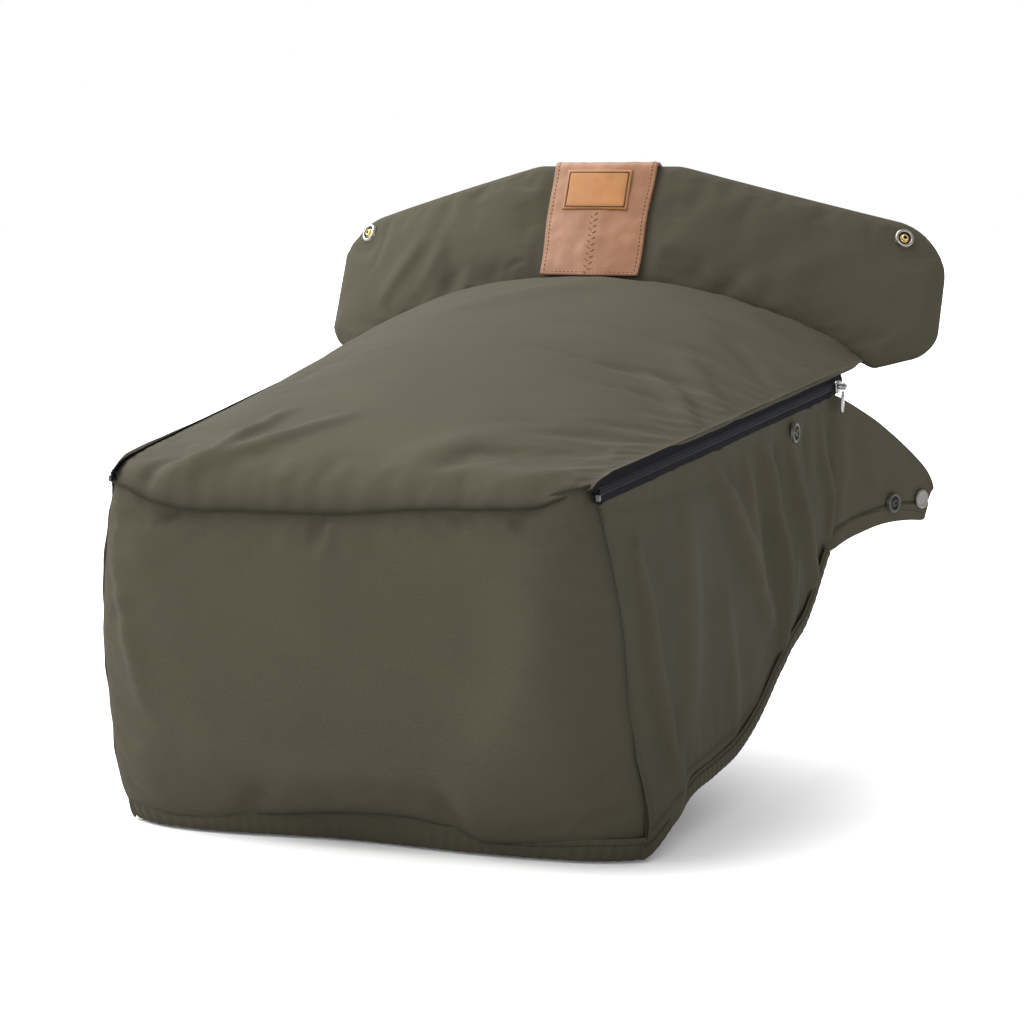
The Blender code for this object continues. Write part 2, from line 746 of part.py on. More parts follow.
def build_flaps():
    for side, sign in (("left", -1), ("right", 1)):
        hinge, reach, outward = flap_axes(sign)
        hang = pivot(f"flap_hinge_{side}", hinge + Vector((0, 0, FLAP_HINGE_Z)))
        lined = flap_surface(sign, FLAP_LINING_MARGIN)
        pieces = [
            layer(f"flap_panel_{side}", flap_surface(sign), outward, GAP / 2, CLOTH, 12, 5, "canvas"),
            layer(f"flap_lining_{side}", lined, -outward, GAP / 2, LINING, 12, 5, "lining"),
        ]
        on_face = hinge + Vector((0, 0, FLAP_SNAP_Z)) + outward * (CLOTH + GAP / 2 + GAP)
        pieces.append(snap(f"flap_snap_{side}", on_face + reach * FLAP_SNAP_REACH, outward, STUD))
        pieces.append(snap(f"flap_snap_cap_{side}", on_face + reach * FLAP_CAP_REACH, outward, CAP))
        for piece in pieces:
            keep_in_place(piece, hang)


def main():
    clear_scene()
    cover_pivot = pivot("cover_hinge", (0, COVER_HINGE_Y, COVER_HINGE_Z))
    collar_pivot = pivot("collar_hinge", (0, CREASE_Y, CREASE_Z))
    build_foot_box()
    build_side_snaps()
    build_cover(cover_pivot)
    build_zips(cover_pivot)
    build_collar(collar_pivot)
    build_flaps()


main()
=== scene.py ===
"""Looks of a padded pram seat apron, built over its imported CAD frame.

Metres, +Z up, +Y towards the seat, the toe end faces -Y. Left is -X and right is +X.
"""

from math import cos, pi, radians, sin, sqrt

import bpy
import numpy as np
from mathutils import Matrix, Vector, noise


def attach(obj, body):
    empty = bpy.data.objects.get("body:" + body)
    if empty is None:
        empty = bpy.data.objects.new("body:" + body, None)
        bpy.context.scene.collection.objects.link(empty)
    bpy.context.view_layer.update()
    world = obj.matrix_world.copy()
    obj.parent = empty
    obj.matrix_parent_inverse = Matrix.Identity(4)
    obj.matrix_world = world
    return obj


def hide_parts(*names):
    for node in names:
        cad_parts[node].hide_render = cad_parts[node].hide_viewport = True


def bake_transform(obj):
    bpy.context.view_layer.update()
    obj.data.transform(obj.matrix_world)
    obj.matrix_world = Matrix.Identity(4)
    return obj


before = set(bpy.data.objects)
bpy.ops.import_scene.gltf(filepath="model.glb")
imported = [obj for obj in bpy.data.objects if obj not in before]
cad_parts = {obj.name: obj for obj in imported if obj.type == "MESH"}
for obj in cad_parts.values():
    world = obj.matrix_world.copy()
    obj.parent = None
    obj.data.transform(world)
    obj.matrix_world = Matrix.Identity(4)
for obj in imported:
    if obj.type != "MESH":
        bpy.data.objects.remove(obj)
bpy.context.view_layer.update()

MM = 0.001
SIDES = (("left", -1), ("right", 1))
TOWARDS_TOE = (0, -1, 0)

# The CAD part's driving sizes
TOE_Y, TOE_BOTTOM_Y = -0.308, -0.250
TOE_HALF_WIDTH, SIDE_SPREAD = 0.163, 0.096
HEM_FLARE, FLARE_REACH, FLARE_TOP_Z = 0.019, 0.330, 0.228
TOE_CORNER, CORNER_POWER = 0.020, 8
SIDE_END_Y = 0.1278
ZIP_FRONT_Z, ZIP_RISE, ZIP_END_Y, SLIDER_Y = 0.241, 0.086, 0.139, 0.131
SEAM_Z, LEFT_SEAM_Z = 0.246, 0.240
REAR_HALF_WIDTH = 0.2125
CREASE_Y, CREASE_Z, CREASE_DROP = 0.176, 0.352, 1.30
LEAN, WRAP, WRAP_POWER = 0.50, 1.09, 1.7
COLLAR_TOP_Z, COLLAR_FLAT, COLLAR_TOP_SLOPE, COLLAR_HALF_WIDTH = 0.441, 0.058, 0.267, 0.254
COLLAR_TOP_ROUND, COLLAR_LOW_ROUND, WING_RISE = 0.038, 0.016, 0.25
COLLAR_THICK = 0.0114
FLAP_HINGE, FLAP_AZIMUTH = Vector((0.2065, 0.130, 0.0)), radians(23.5)
FLAP_TOP_REACH, FLAP_LOW_REACH = 0.1255, 0.1135
COLLAR_SNAP = (0.2235, 0.382)           # x and z on the collar's face
SIDE_SNAP = (0.047, 0.2515)             # y and z on the side panel
TOE_LOW_HALF = (0.185, 0.178)           # half widths of the toe's lower edge, left and right
TAPE_LAP, HEM_START_Y, SIDE_HEM_WIDTH = 0.0072, -0.232, 0.0125

# Outlines of the sewn cloth. The toe seam's height, as (x, z)
SEAM_LINE = [(-0.171, 0.240), (-0.154, 0.238), (-0.139, 0.232), (-0.113, 0.226), (-0.066, 0.226),
             (0.003, 0.227), (0.057, 0.232), (0.105, 0.234), (0.131, 0.236), (0.149, 0.243), (0.163, 0.247)]
# Half width of the toe end on each side, as (z, half width)
LEFT_SIDE = [(0.0, 0.181), (0.012, 0.189), (0.034, 0.194), (0.068, 0.1945), (0.121, 0.193),
             (0.176, 0.186), (0.215, 0.177), (0.240, 0.171)]
RIGHT_SIDE = [(0.0, 0.176), (0.014, 0.182), (0.036, 0.184), (0.069, 0.179), (0.105, 0.1755),
              (0.152, 0.1735), (0.197, 0.168), (0.218, 0.1655), (0.246, 0.162)]
# Lower edge of the toe panel, which bulges over its hem, as (x, z)
TOE_LOW = [(-0.185, 0.0125), (-0.145, 0.005), (-0.123, 0.006), (-0.096, 0.010), (-0.064, 0.015),
           (-0.006, 0.020), (0.030, 0.020), (0.055, 0.0155), (0.078, 0.0095), (0.103, 0.0095),
           (0.150, 0.012), (0.185, 0.0125)]
# Lower rim of the side panels, as (y, z)
SIDE_LOW = [(-0.232, 0.001), (-0.205, 0.014), (-0.167, 0.028), (-0.112, 0.034), (-0.066, 0.040),
            (-0.018, 0.056), (0.019, 0.076), (0.050, 0.095), (0.080, 0.109), (0.105, 0.132), (0.1278, 0.155)]

scene = bpy.context.scene


# Curves and fields ----------


def lerp(a, b, t):
    return a + (b - a) * t


def spline(x, knots):
    """A smooth curve through (x, value) knots, level beyond its ends."""
    xs, ys = (np.array(c, float) for c in zip(*knots))
    slopes = np.gradient(ys, xs)
    x = np.clip(x, xs[0], xs[-1])
    k = np.clip(np.searchsorted(xs, x, side="right") - 1, 0, len(xs) - 2)
    step = xs[k + 1] - xs[k]
    t = (x - xs[k]) / step
    return (
        (2 * t**3 - 3 * t**2 + 1) * ys[k]
        + (t**3 - 2 * t**2 + t) * step * slopes[k]
        + (3 * t**2 - 2 * t**3) * ys[k + 1]
        + (t**3 - t**2) * step * slopes[k + 1]
    )


def smooth(t):
    t = np.clip(t, 0, 1)
    return t * t * (3 - 2 * t)


def points(x, y, z):
    return np.stack(np.broadcast_arrays(x, y, z), -1).astype(float)


def normals(grid, way):
    """Unit normals of a grid, on the side that way points to at its middle."""
    n = np.cross(np.gradient(grid, axis=0), np.gradient(grid, axis=1))
    n /= np.maximum(np.linalg.norm(n, axis=-1, keepdims=True), 1e-12)
    return n if n[len(grid) // 2, grid.shape[1] // 2] @ way > 0 else -n


def net(columns, rows):
    """Shares from 0 to 1 along and up a grid."""
    return np.meshgrid(np.linspace(0, 1, columns), np.linspace(0, 1, rows), indexing="ij")


def fading(distance, reach):
    """1 at an edge, fading with the distance from it."""
    return np.exp(-distance / reach)


def band_at(distance, middle, width):
    """1 at a distance from an edge, fading to 0 on both sides of it."""
    return np.exp(-(((distance - middle) / width) ** 2))


def field(grid, size, seed, depth=2):
    """Smooth noise of about -1 to 1 at each point of a grid, with features of about this size."""
    flat = grid.reshape(-1, 3)
    shift = Vector((seed * 7.31, seed * 3.17, seed * 5.53))
    values = [noise.fractal(Vector(p) / size + shift, 1.0, 2.0, depth) for p in flat.tolist()]
    return np.array(values).reshape(grid.shape[:2])


def ridges(across, up, folds):
    """Height of soft folds: each is (height, width, steepness of its right-hand flank, points), in mm."""
    place = np.stack([across, up], -1)
    total = np.zeros(across.shape)
    for height, width, steep, line in folds:
        line = np.array(line, float) * MM
        lengths = np.linalg.norm(np.diff(line, axis=0), axis=1)
        near, share, side = np.full(across.shape, 1e9), np.zeros(across.shape), np.zeros(across.shape)
        done = 0.0
        for a, b, length in zip(line, line[1:], lengths):
            along = np.clip(((place - a) @ (b - a)) / length**2, 0, 1)
            off = place - (a + along[..., None] * (b - a))
            gap = np.linalg.norm(off, axis=-1)
            closer = gap < near
            near = np.where(closer, gap, near)
            share = np.where(closer, (done + along * length) / lengths.sum(), share)
            side = np.where(closer, (b - a)[0] * off[..., 1] - (b - a)[1] * off[..., 0], side)
            done += length
        reach = width * MM * np.where(side < 0, 1 / steep, 1.0)
        fade = np.sqrt(np.sin(pi * np.clip(0.06 + 0.88 * share, 0, 1)))
        total += MM * height * fade * np.exp(-((near / reach) ** 2))
    return total


def half_width(y):
    return TOE_HALF_WIDTH + SIDE_SPREAD * (y - TOE_Y)


def zip_z(y):
    return ZIP_FRONT_Z + ZIP_RISE * (y - TOE_Y)


def toe_face(z):
    return lerp(TOE_BOTTOM_Y, TOE_Y, z / SEAM_Z)


def flare(y, z):
    below = np.sqrt(np.maximum(0, 1 - z / FLARE_TOP_Z))
    return HEM_FLARE * below * np.maximum(0, 1 - (y - TOE_Y) / FLARE_REACH)


def toe_half(sign, z):
    """Half width of the toe end, which is wider on the left."""
    return spline(z, LEFT_SIDE if sign < 0 else RIGHT_SIDE)


def seam_x(s):
    """Where the toe seam runs: s from -1 to 1 across the object."""
    return s * np.where(s < 0, toe_half(-1, LEFT_SEAM_Z), toe_half(1, SEAM_Z))


def corner(s):
    """How far the toe's rounded corners sit behind its face."""
    return TOE_CORNER * np.abs(s) ** CORNER_POWER


def side_x(sign, y, z):
    """Half width of the foot box at a point of its side."""
    corner_y = toe_face(z) + TOE_CORNER
    extra = toe_half(sign, z) - half_width(corner_y) - flare(corner_y, z)
    reach = 0.24 if sign < 0 else 0.10
    beside_zip = smooth((z - zip_z(y) + 0.030) / 0.020) * smooth((y - TOE_Y - 0.021) / 0.012)
    return half_width(y) + flare(y, z) + extra * smooth(1 - (y - corner_y) / reach) * (1 - beside_zip)


def wrap(x):
    return WRAP * np.abs(x) ** WRAP_POWER


def crease_z(x):
    return CREASE_Z - CREASE_DROP * x**2


def collar_y(x, z):
    return CREASE_Y + LEAN * (z - CREASE_Z) + wrap(x)


# Materials ----------


class Look:
    """A Principled material whose colour and bump come from procedural nodes."""

    def __init__(self, name, roughness, metallic=0.0, specular=0.5, coat=0.0):
        self.material = bpy.data.materials.new(name)
        self.material.use_nodes = True
        self.tree = self.material.node_tree
        self.shader = self.tree.nodes["Principled BSDF"]
        self.shader.inputs["Roughness"].default_value = roughness
        self.shader.inputs["Metallic"].default_value = metallic
        self.shader.inputs["Specular IOR Level"].default_value = specular
        self.shader.inputs["Coat Weight"].default_value = coat
        self.shader.inputs["Coat Roughness"].default_value = 0.25
        self.place = self.node("TexCoord").outputs["UV"]
        self.height = None

    def node(self, kind, **settings):
        made_node = self.tree.nodes.new("ShaderNode" + kind)
        for key, value in settings.items():
            setattr(made_node, key, value)
        return made_node

    def wire(self, source, target):
        self.tree.links.new(source, target)

    def scaled(self, x, y, turn=0.0):
        """The cloth's own coordinates, in metres, times x and y."""
        mapping = self.node("Mapping")
        mapping.inputs["Scale"].default_value = (x, y, 1)
        mapping.inputs["Rotation"].default_value = (0, 0, turn)
        self.wire(self.place, mapping.inputs["Vector"])
        return mapping.outputs["Vector"]

    def noise(self, x, y, detail=2.0):
        made_node = self.node("TexNoise")
        made_node.inputs["Scale"].default_value = 1.0
        made_node.inputs["Detail"].default_value = detail
        self.wire(self.scaled(x, y), made_node.inputs["Vector"])
        return made_node.outputs["Fac"]

    def bands(self, pitch, turn, distortion=0.0):
        """Parallel ribs this far apart, at an angle across the cloth."""
        wave = self.node("TexWave")
        wave.inputs["Scale"].default_value = 1.0
        wave.inputs["Distortion"].default_value = distortion
        scale = 2 * pi / 20 / pitch
        self.wire(self.scaled(scale, scale, turn), wave.inputs["Vector"])
        return wave.outputs["Fac"]

    def colour(self, base, spots):
        """Base colour times a few tones; each spot is (value, darkest, lightest)."""
        last = None
        for value, low, high in spots:
            ramp = self.node("MapRange")
            ramp.inputs["To Min"].default_value = low
            ramp.inputs["To Max"].default_value = high
            self.wire(value, ramp.inputs["Value"])
            mix = self.node("Mix", data_type="RGBA", blend_type="MULTIPLY")
            mix.inputs["Factor"].default_value = 1.0
            if last is None:
                mix.inputs[6].default_value = (*base, 1)
            else:
                self.wire(last, mix.inputs[6])
            self.wire(ramp.outputs["Result"], mix.inputs[7])
            last = mix.outputs[2]
        self.wire(last, self.shader.inputs["Base Color"])

    def bump(self, value, strength, distance):
        bump = self.node("Bump")
        bump.inputs["Strength"].default_value = strength
        bump.inputs["Distance"].default_value = distance
        self.wire(value, bump.inputs["Height"])
        if self.height is not None:
            self.wire(self.height, bump.inputs["Normal"])
        self.height = bump.outputs["Normal"]
        self.wire(self.height, self.shader.inputs["Normal"])

    def attribute(self, name):
        return self.node("Attribute", attribute_name=name).outputs["Fac"]


TWILL_PITCH = 0.0011
WEAVE_PITCH = 0.0007


def canvas_look(name, base):
    look = Look(name, 0.85, specular=0.09)
    twill = look.bands(TWILL_PITCH, radians(58), 0.6)
    threads = look.bands(TWILL_PITCH * 0.55, radians(-20), 0.8)
    cloudy = look.noise(14, 10, 3)
    slub = look.noise(60, 900, 2)
    fibre = look.noise(1300, 1300, 1)
    # The shade attribute is painted shade: it darkens seams, creases, fold valleys and the toe's right third.
    painted_shade = look.attribute("shade")
    look.colour(base, [(cloudy, 0.90, 1.10), (slub, 0.93, 1.07), (twill, 0.92, 1.05), (painted_shade, 1.0, 0.42)])
    look.bump(look.noise(26, 20, 3), 0.10, 0.0020)
    look.bump(slub, 0.06, 0.00020)
    look.bump(fibre, 0.10, 0.00015)
    look.bump(twill, 0.28, 0.00018)
    look.bump(threads, 0.14, 0.00010)
    return look.material


def lining_look(name, base):
    look = Look(name, 0.90, specular=0.10)
    warp = look.bands(WEAVE_PITCH, 0.0)
    weft = look.bands(WEAVE_PITCH, radians(90))
    look.colour(base, [(look.noise(18, 18, 3), 0.85, 1.12), (warp, 0.92, 1.04), (weft, 0.92, 1.04)])
    look.bump(look.noise(40, 40, 3), 0.25, 0.002)
    look.bump(warp, 0.2, 0.00012)
    look.bump(weft, 0.2, 0.00012)
    return look.material


def tape_look(name, base):
    look = Look(name, 0.85, specular=0.04)
    rib = look.bands(0.0009, radians(90))
    cross = look.bands(WEAVE_PITCH, 0.0)
    look.colour(base, [(look.noise(30, 200, 2), 0.8, 1.3), (rib, 0.75, 1.15), (cross, 0.9, 1.08)])
    look.bump(rib, 0.35, 0.0002)
    look.bump(cross, 0.2, 0.00012)
    return look.material


def coil_look(name, base):
    look = Look(name, 0.48, specular=0.14)
    look.colour(base, [(look.noise(500, 500, 2), 0.85, 1.2)])
    look.bump(look.noise(1500, 1500, 1), 0.1, 0.00008)
    return look.material


def leather_look(name, base, roughness, grain, coat=0.0):
    look = Look(name, roughness, specular=0.25, coat=coat)
    cells = look.node("TexVoronoi")
    cells.inputs["Scale"].default_value = 1.0
    look.wire(look.scaled(grain, grain), cells.inputs["Vector"])
    pores = look.noise(grain * 1.7, grain * 1.7, 3)
    blotch = look.noise(38, 26, 4)
    pull = look.noise(22, 95, 3)
    at_edges = look.attribute("shade")
    look.colour(base, [(blotch, 0.74, 1.28), (pull, 0.88, 1.12), (pores, 0.90, 1.08), (at_edges, 1.0, 0.35)])
    look.bump(look.noise(70, 55, 3), 0.30, 0.0012)
    look.bump(cells.outputs["Distance"], 0.22, 0.00022)
    look.bump(pores, 0.18, 0.00015)
    return look.material


def metal_look(name, base, roughness):
    look = Look(name, roughness, metallic=1.0)
    look.colour(base, [(look.noise(600, 600, 3), 0.82, 1.08), (look.noise(90, 90, 2), 0.90, 1.05)])
    look.bump(look.noise(1400, 300, 2), 0.08, 0.00006)
    return look.material


def thread_look(name, base):
    look = Look(name, 0.80, specular=0.10)
    ply = look.bands(0.0006, radians(35))
    look.colour(base, [(ply, 0.7, 1.15), (look.noise(300, 300, 2), 0.9, 1.1)])
    look.bump(ply, 0.4, 0.00012)
    return look.material


CANVAS = canvas_look("canvas_twill", (0.0440, 0.0392, 0.0262))
# A darker copy of the canvas as painted shade, for the hem bands and corner welts that sit back in shadow.
CANVAS_SHADED = canvas_look("canvas_hem_painted_shade", (0.0365, 0.0325, 0.0218))
LINING = lining_look("lining_plain_weave", (0.034, 0.032, 0.028))
TAPE = tape_look("zip_tape_woven", (0.0060, 0.0060, 0.0075))
COIL = coil_look("zip_nylon", (0.0075, 0.0075, 0.0095))
LEATHER = leather_look("strap_leather", (0.188, 0.087, 0.044), 0.52, 700, coat=0.04)
LEATHER_BACK = leather_look("strap_flesh_side", (0.30, 0.19, 0.13), 0.75, 900)
LABEL = leather_look("label_leather", (0.255, 0.110, 0.033), 0.56, 900)
BURNT = leather_look("label_burnt_line", (0.035, 0.012, 0.006), 0.60, 900)
NICKEL = metal_look("snap_nickel", (0.24, 0.232, 0.215), 0.26)
GUNMETAL = metal_look("snap_gunmetal", (0.060, 0.058, 0.054), 0.34)
# Near-black metal as painted shade, for the hollows of the ring snaps and the hole in the zip puller.
WELL_SHADE_METAL = metal_look("snap_well_painted_shade", (0.012, 0.012, 0.011), 0.50)
CAP_METAL = metal_look("snap_cap", (0.150, 0.144, 0.135), 0.38)
BRASS = metal_look("snap_brass", (0.66, 0.46, 0.18), 0.26)
ZINC = metal_look("zip_zinc", (0.21, 0.21, 0.205), 0.26)
THREAD = thread_look("canvas_thread", (0.026, 0.023, 0.016))
THREAD_FAINT = thread_look("leather_thread_faint", (0.172, 0.080, 0.042))
THREAD_TAN = thread_look("leather_thread", (0.085, 0.042, 0.024))


# Mesh building ----------


def new_object(name, vertices, faces, looks, uv=None, face_looks=None, shade=None):
    mesh = bpy.data.meshes.new(name)
    mesh.from_pydata(np.asarray(vertices).tolist(), [], faces)
    for look in looks:
        mesh.materials.append(look)
    if face_looks is not None:
        mesh.polygons.foreach_set("material_index", np.asarray(face_looks, np.int32))
    loops = np.zeros(len(mesh.loops), np.int32)
    mesh.loops.foreach_get("vertex_index", loops)
    if uv is None:
        uv = np.asarray(vertices)[:, :2] + np.asarray(vertices)[:, 2:3] * 0.7
    layer = mesh.uv_layers.new(name="cloth")
    layer.data.foreach_set("uv", np.asarray(uv, np.float32)[loops].ravel())
    # The shade attribute darkens the colour: on the canvas it holds painted shade, and on the leather it
    # darkens the edges.
    values = mesh.attributes.new("shade", "FLOAT", "POINT")
    dark = np.zeros(len(vertices)) if shade is None else shade
    values.data.foreach_set("value", np.asarray(dark, np.float32))
    mesh.polygons.foreach_set("use_smooth", np.ones(len(mesh.polygons), bool))
    mesh.update()
    obj = bpy.data.objects.new(name, mesh)
    scene.collection.objects.link(obj)
    return obj


def run_lengths(grid):
    """The cloth's own coordinates of a grid, in metres."""
    columns, rows = grid.shape[:2]
    u = np.concatenate([[0], np.linalg.norm(np.diff(grid[:, rows // 2], axis=0), axis=-1).cumsum()])
    v = np.concatenate([[0], np.linalg.norm(np.diff(grid[columns // 2], axis=0), axis=-1).cumsum()])
    return np.stack(np.meshgrid(u, v, indexing="ij"), -1)


def form(name, front, back, front_look, back_look, shade=None, smoothing=1):
    """A closed form between two grids of the same shape, such as a padded panel."""
    columns, rows = front.shape[:2]
    index = np.arange(columns * rows).reshape(columns, rows)
    behind = index + columns * rows
    quads = [index[:-1, :-1], index[1:, :-1], index[1:, 1:], index[:-1, 1:]]
    faces = np.stack(quads, -1).reshape(-1, 4)
    others = np.stack(quads[::-1], -1).reshape(-1, 4) + columns * rows
    rim = []
    for line, other in ((index[:, 0], behind[:, 0]), (index[::-1, -1], behind[::-1, -1]),
                        (index[-1, :], behind[-1, :]), (index[0, ::-1], behind[0, ::-1])):
        rim.append(np.stack([line[1:], line[:-1], other[:-1], other[1:]], -1))
    rim = np.concatenate(rim)
    vertices = np.concatenate([front.reshape(-1, 3), back.reshape(-1, 3)])
    every = np.concatenate([faces, others, rim])
    if volume(vertices, every) < 0:
        every = every[:, ::-1]
    looks = np.zeros(len(every), int)
    looks[len(faces):len(faces) + len(others)] = 1
    uv = run_lengths(front).reshape(-1, 2)
    dark = np.zeros(columns * rows) if shade is None else shade.ravel()
    obj = new_object(name, vertices, every.tolist(), [front_look, back_look], np.concatenate([uv, uv]), looks,
                     np.concatenate([dark, dark]))
    if smoothing:
        round_off(obj, smoothing)
    return obj


def volume(vertices, quads):
    a, b, c, d = (vertices[quads[:, k]] for k in range(4))
    return float((a * np.cross(b, c)).sum() + (a * np.cross(c, d)).sum())


def round_off(obj, levels=1):
    subdivision = obj.modifiers.new("round", "SUBSURF")
    subdivision.levels = subdivision.render_levels = levels


def sleeve(rings, sides):
    """Faces of a tube closed at both ends, through rings of this many points."""
    faces = [tuple(range(sides))[::-1], tuple(range((rings - 1) * sides, rings * sides))]
    for i in range(rings - 1):
        for k in range(sides):
            after = (k + 1) % sides
            faces.append((i * sides + k, i * sides + after, (i + 1) * sides + after, (i + 1) * sides + k))
    return faces


def tube(name, line, radius, look, sides=8, flat=1.0, facing=None):
    """A closed tube along a line of points; flat squeezes it along facing."""
    line = np.asarray(line, float)
    tangent = np.gradient(line, axis=0)
    tangent /= np.linalg.norm(tangent, axis=1, keepdims=True)
    up = np.tile(facing if facing is not None else (0.31, 0.2, 0.93), (len(line), 1)).astype(float)
    up -= (up * tangent).sum(1, keepdims=True) * tangent
    up /= np.linalg.norm(up, axis=1, keepdims=True)
    across = np.cross(tangent, up)
    radius = np.broadcast_to(radius, len(line))[:, None]
    turn = np.linspace(0, 2 * pi, sides, endpoint=False)
    rings = [line + radius * (cos(a) * across + sin(a) * flat * up) for a in turn]
    vertices = np.stack(rings, 1).reshape(-1, 3)
    run = np.concatenate([[0], np.linalg.norm(np.diff(line, axis=0), axis=1).cumsum()])
    uv = np.stack([np.repeat(run, sides), np.tile(turn * 0.001, len(line))], -1)
    return new_object(name, vertices, sleeve(len(line), sides), [look], uv)


def joined(name, parts, look):
    """Several small meshes as one object; each part is (vertices, faces)."""
    vertices, faces = [], []
    start = 0
    for part_vertices, part_faces in parts:
        vertices.append(part_vertices)
        faces += [tuple(start + k for k in face) for face in part_faces]
        start += len(part_vertices)
    return new_object(name, np.concatenate(vertices), faces, [look])


def bead(centre, along, up, length, width, height):
    """One stitch: a flattened hexagonal bead."""
    along, up = np.asarray(along, float), np.asarray(up, float)
    along = along / np.linalg.norm(along)
    up = up - up @ along * along
    up = up / np.linalg.norm(up)
    across = np.cross(along, up)
    vertices = []
    for t, scale in ((-0.5, 0.35), (-0.28, 1.0), (0.28, 1.0), (0.5, 0.35)):
        for a in range(6):
            turn = pi / 3 * a
            off = across * width / 2 * cos(turn) + up * height / 2 * sin(turn)
            vertices.append(centre + along * length * t + scale * off)
    return np.array(vertices), sleeve(4, 6)


def stitches(name, line, up, look, pitch=0.0034, length=0.0026, width=0.0007, height=0.0005):
    """A row of stitches along a line; up is one direction, or one for each point of the line."""
    line = np.asarray(line, float)
    run = np.concatenate([[0], np.linalg.norm(np.diff(line, axis=0), axis=1).cumsum()])
    at = np.arange(pitch / 2, run[-1], pitch)
    place = np.stack([np.interp(at, run, line[:, k]) for k in range(3)], -1)
    ups = np.broadcast_to(np.asarray(up, float), line.shape)
    ups = np.stack([np.interp(at, run, ups[:, k]) for k in range(3)], -1)
    along = np.gradient(place, axis=0)
    return joined(name, [bead(p, a, u, length, width, height) for p, a, u in zip(place, along, ups)], look)


def turned(profile, sides, looks_of):
    """A solid of revolution about Z from (radius, height) pairs; looks_of gives each band's look index."""
    vertices, faces, looks = [], [], []
    rings = []
    for radius, height in profile:
        if radius == 0:
            rings.append([len(vertices)])
            vertices.append((0, 0, height))
            continue
        rings.append(list(range(len(vertices), len(vertices) + sides)))
        for k in range(sides):
            a = 2 * pi * k / sides
            vertices.append((radius * cos(a), radius * sin(a), height))
    for band, (low, high) in enumerate(zip(rings, rings[1:])):
        for k in range(sides):
            after = (k + 1) % sides
            if len(low) == 1:
                faces.append((low[0], high[k], high[after]))
            elif len(high) == 1:
                faces.append((low[k], low[after], high[0]))
            else:
                faces.append((low[k], low[after], high[after], high[k]))
            looks.append(looks_of[band])
    return vertices, faces, looks


def stand(obj, place, outward):
    """Puts a turned piece on a surface."""
    matrix = Matrix.Translation(place) @ Vector(outward).to_track_quat("Z", "Y").to_matrix().to_4x4()
    obj.data.transform(matrix)
    return obj


def wears(obj, slot, *nodes):
    """Hides the CAD nodes that a piece stands for; slot is not used."""
    if nodes:
        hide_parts(*nodes)


def rides(obj, body, slot, *nodes):
    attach(obj, body)
    wears(obj, slot, *nodes)


def opens(obj):
    """Bakes a piece's placement into its mesh."""
    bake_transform(obj)


def settle(obj, held, pressure, spare, most, frames=18):
    """Swells and wrinkles a padded form by cloth simulation; held is 1 where its seams keep it still."""
    rest = np.array([v.co for v in obj.data.vertices])
    group = obj.vertex_groups.new(name="held")
    for k, weight in enumerate(held.tolist()):
        if weight > 0.01:
            group.add([k], weight, "REPLACE")
    subdivision = obj.modifiers["round"]
    subdivision.show_viewport = False
    cloth = obj.modifiers.new("cloth", "CLOTH")
    settings = cloth.settings
    settings.quality = 6
    settings.mass = 0.2
    settings.tension_stiffness = settings.compression_stiffness = 12
    settings.shear_stiffness = 6
    settings.bending_stiffness = 0.6
    settings.air_damping = 4
    settings.vertex_group_mass = "held"
    settings.use_pressure = True
    settings.uniform_pressure_force = pressure
    settings.shrink_min = -spare
    settings.effector_weights.gravity = 0
    cloth.collision_settings.use_collision = False
    for frame_number in range(1, frames + 1):
        scene.frame_set(frame_number)
    swollen = obj.evaluated_get(bpy.context.evaluated_depsgraph_get()).to_mesh()
    now = np.array([v.co for v in swollen.vertices])
    obj.modifiers.remove(cloth)
    subdivision.show_viewport = True
    move = now - rest
    length = np.maximum(np.linalg.norm(move, axis=1, keepdims=True), 1e-9)
    move *= np.tanh(length / most) * most / length
    obj.data.vertices.foreach_set("co", (rest + move).astype(np.float32).ravel())
    obj.data.update()
    obj.vertex_groups.clear()
    scene.frame_set(1)


def crease(obj, move):
    """Presses folds into a finished form: one move for each point of its front grid."""
    flat = move.reshape(-1, 3)
    now = np.zeros(len(obj.data.vertices) * 3, np.float32)
    obj.data.vertices.foreach_get("co", now)
    obj.data.vertices.foreach_set("co", now + np.concatenate([flat, flat]).astype(np.float32).ravel())
    obj.data.update()


def rim_gap(columns, rows, width, height):
    """Distance in metres of each point of a grid from its nearest edge."""
    u = np.linspace(0, width, columns)[:, None]
    v = np.linspace(0, height, rows)[None, :]
    return np.minimum(np.minimum(u, width - u), np.minimum(v, height - v))


# Toe panel ----------

TOE_FOLDS = [
    (6.0, 34, 1.1, [(150, 215), (141, 160), (124, 118), (104, 84), (92, 56)]),
    (1.6, 9, 1.5, [(-168, 190), (-163, 149), (-157, 120), (-154, 90)]),
    (-2.2, 5, 1.0, [(-113, 226), (-119, 220), (-126, 215)]),
    (-2.4, 5, 1.0, [(-13, 226), (-14, 216), (-17, 204)]),
    (1.6, 7, 1.6, [(-6, 226), (-9, 214), (-12, 200)]),
    (-1.4, 4, 1.0, [(77, 230), (78, 224), (80, 218)]),
    (-1.6, 4, 1.0, [(118, 233), (117, 226), (119, 219)]),
    (1.5, 16, 1.4, [(-110, 60), (-60, 52), (-10, 56), (40, 50), (80, 34)]),
    (-1.8, 9, 1.0, [(-96, 12), (-80, 26), (-72, 40)]),
    (-2.0, 8, 1.0, [(58, 18), (52, 34), (50, 48)]),
    (1.5, 8, 1.0, [(80, 12), (74, 26), (70, 38)]),
]


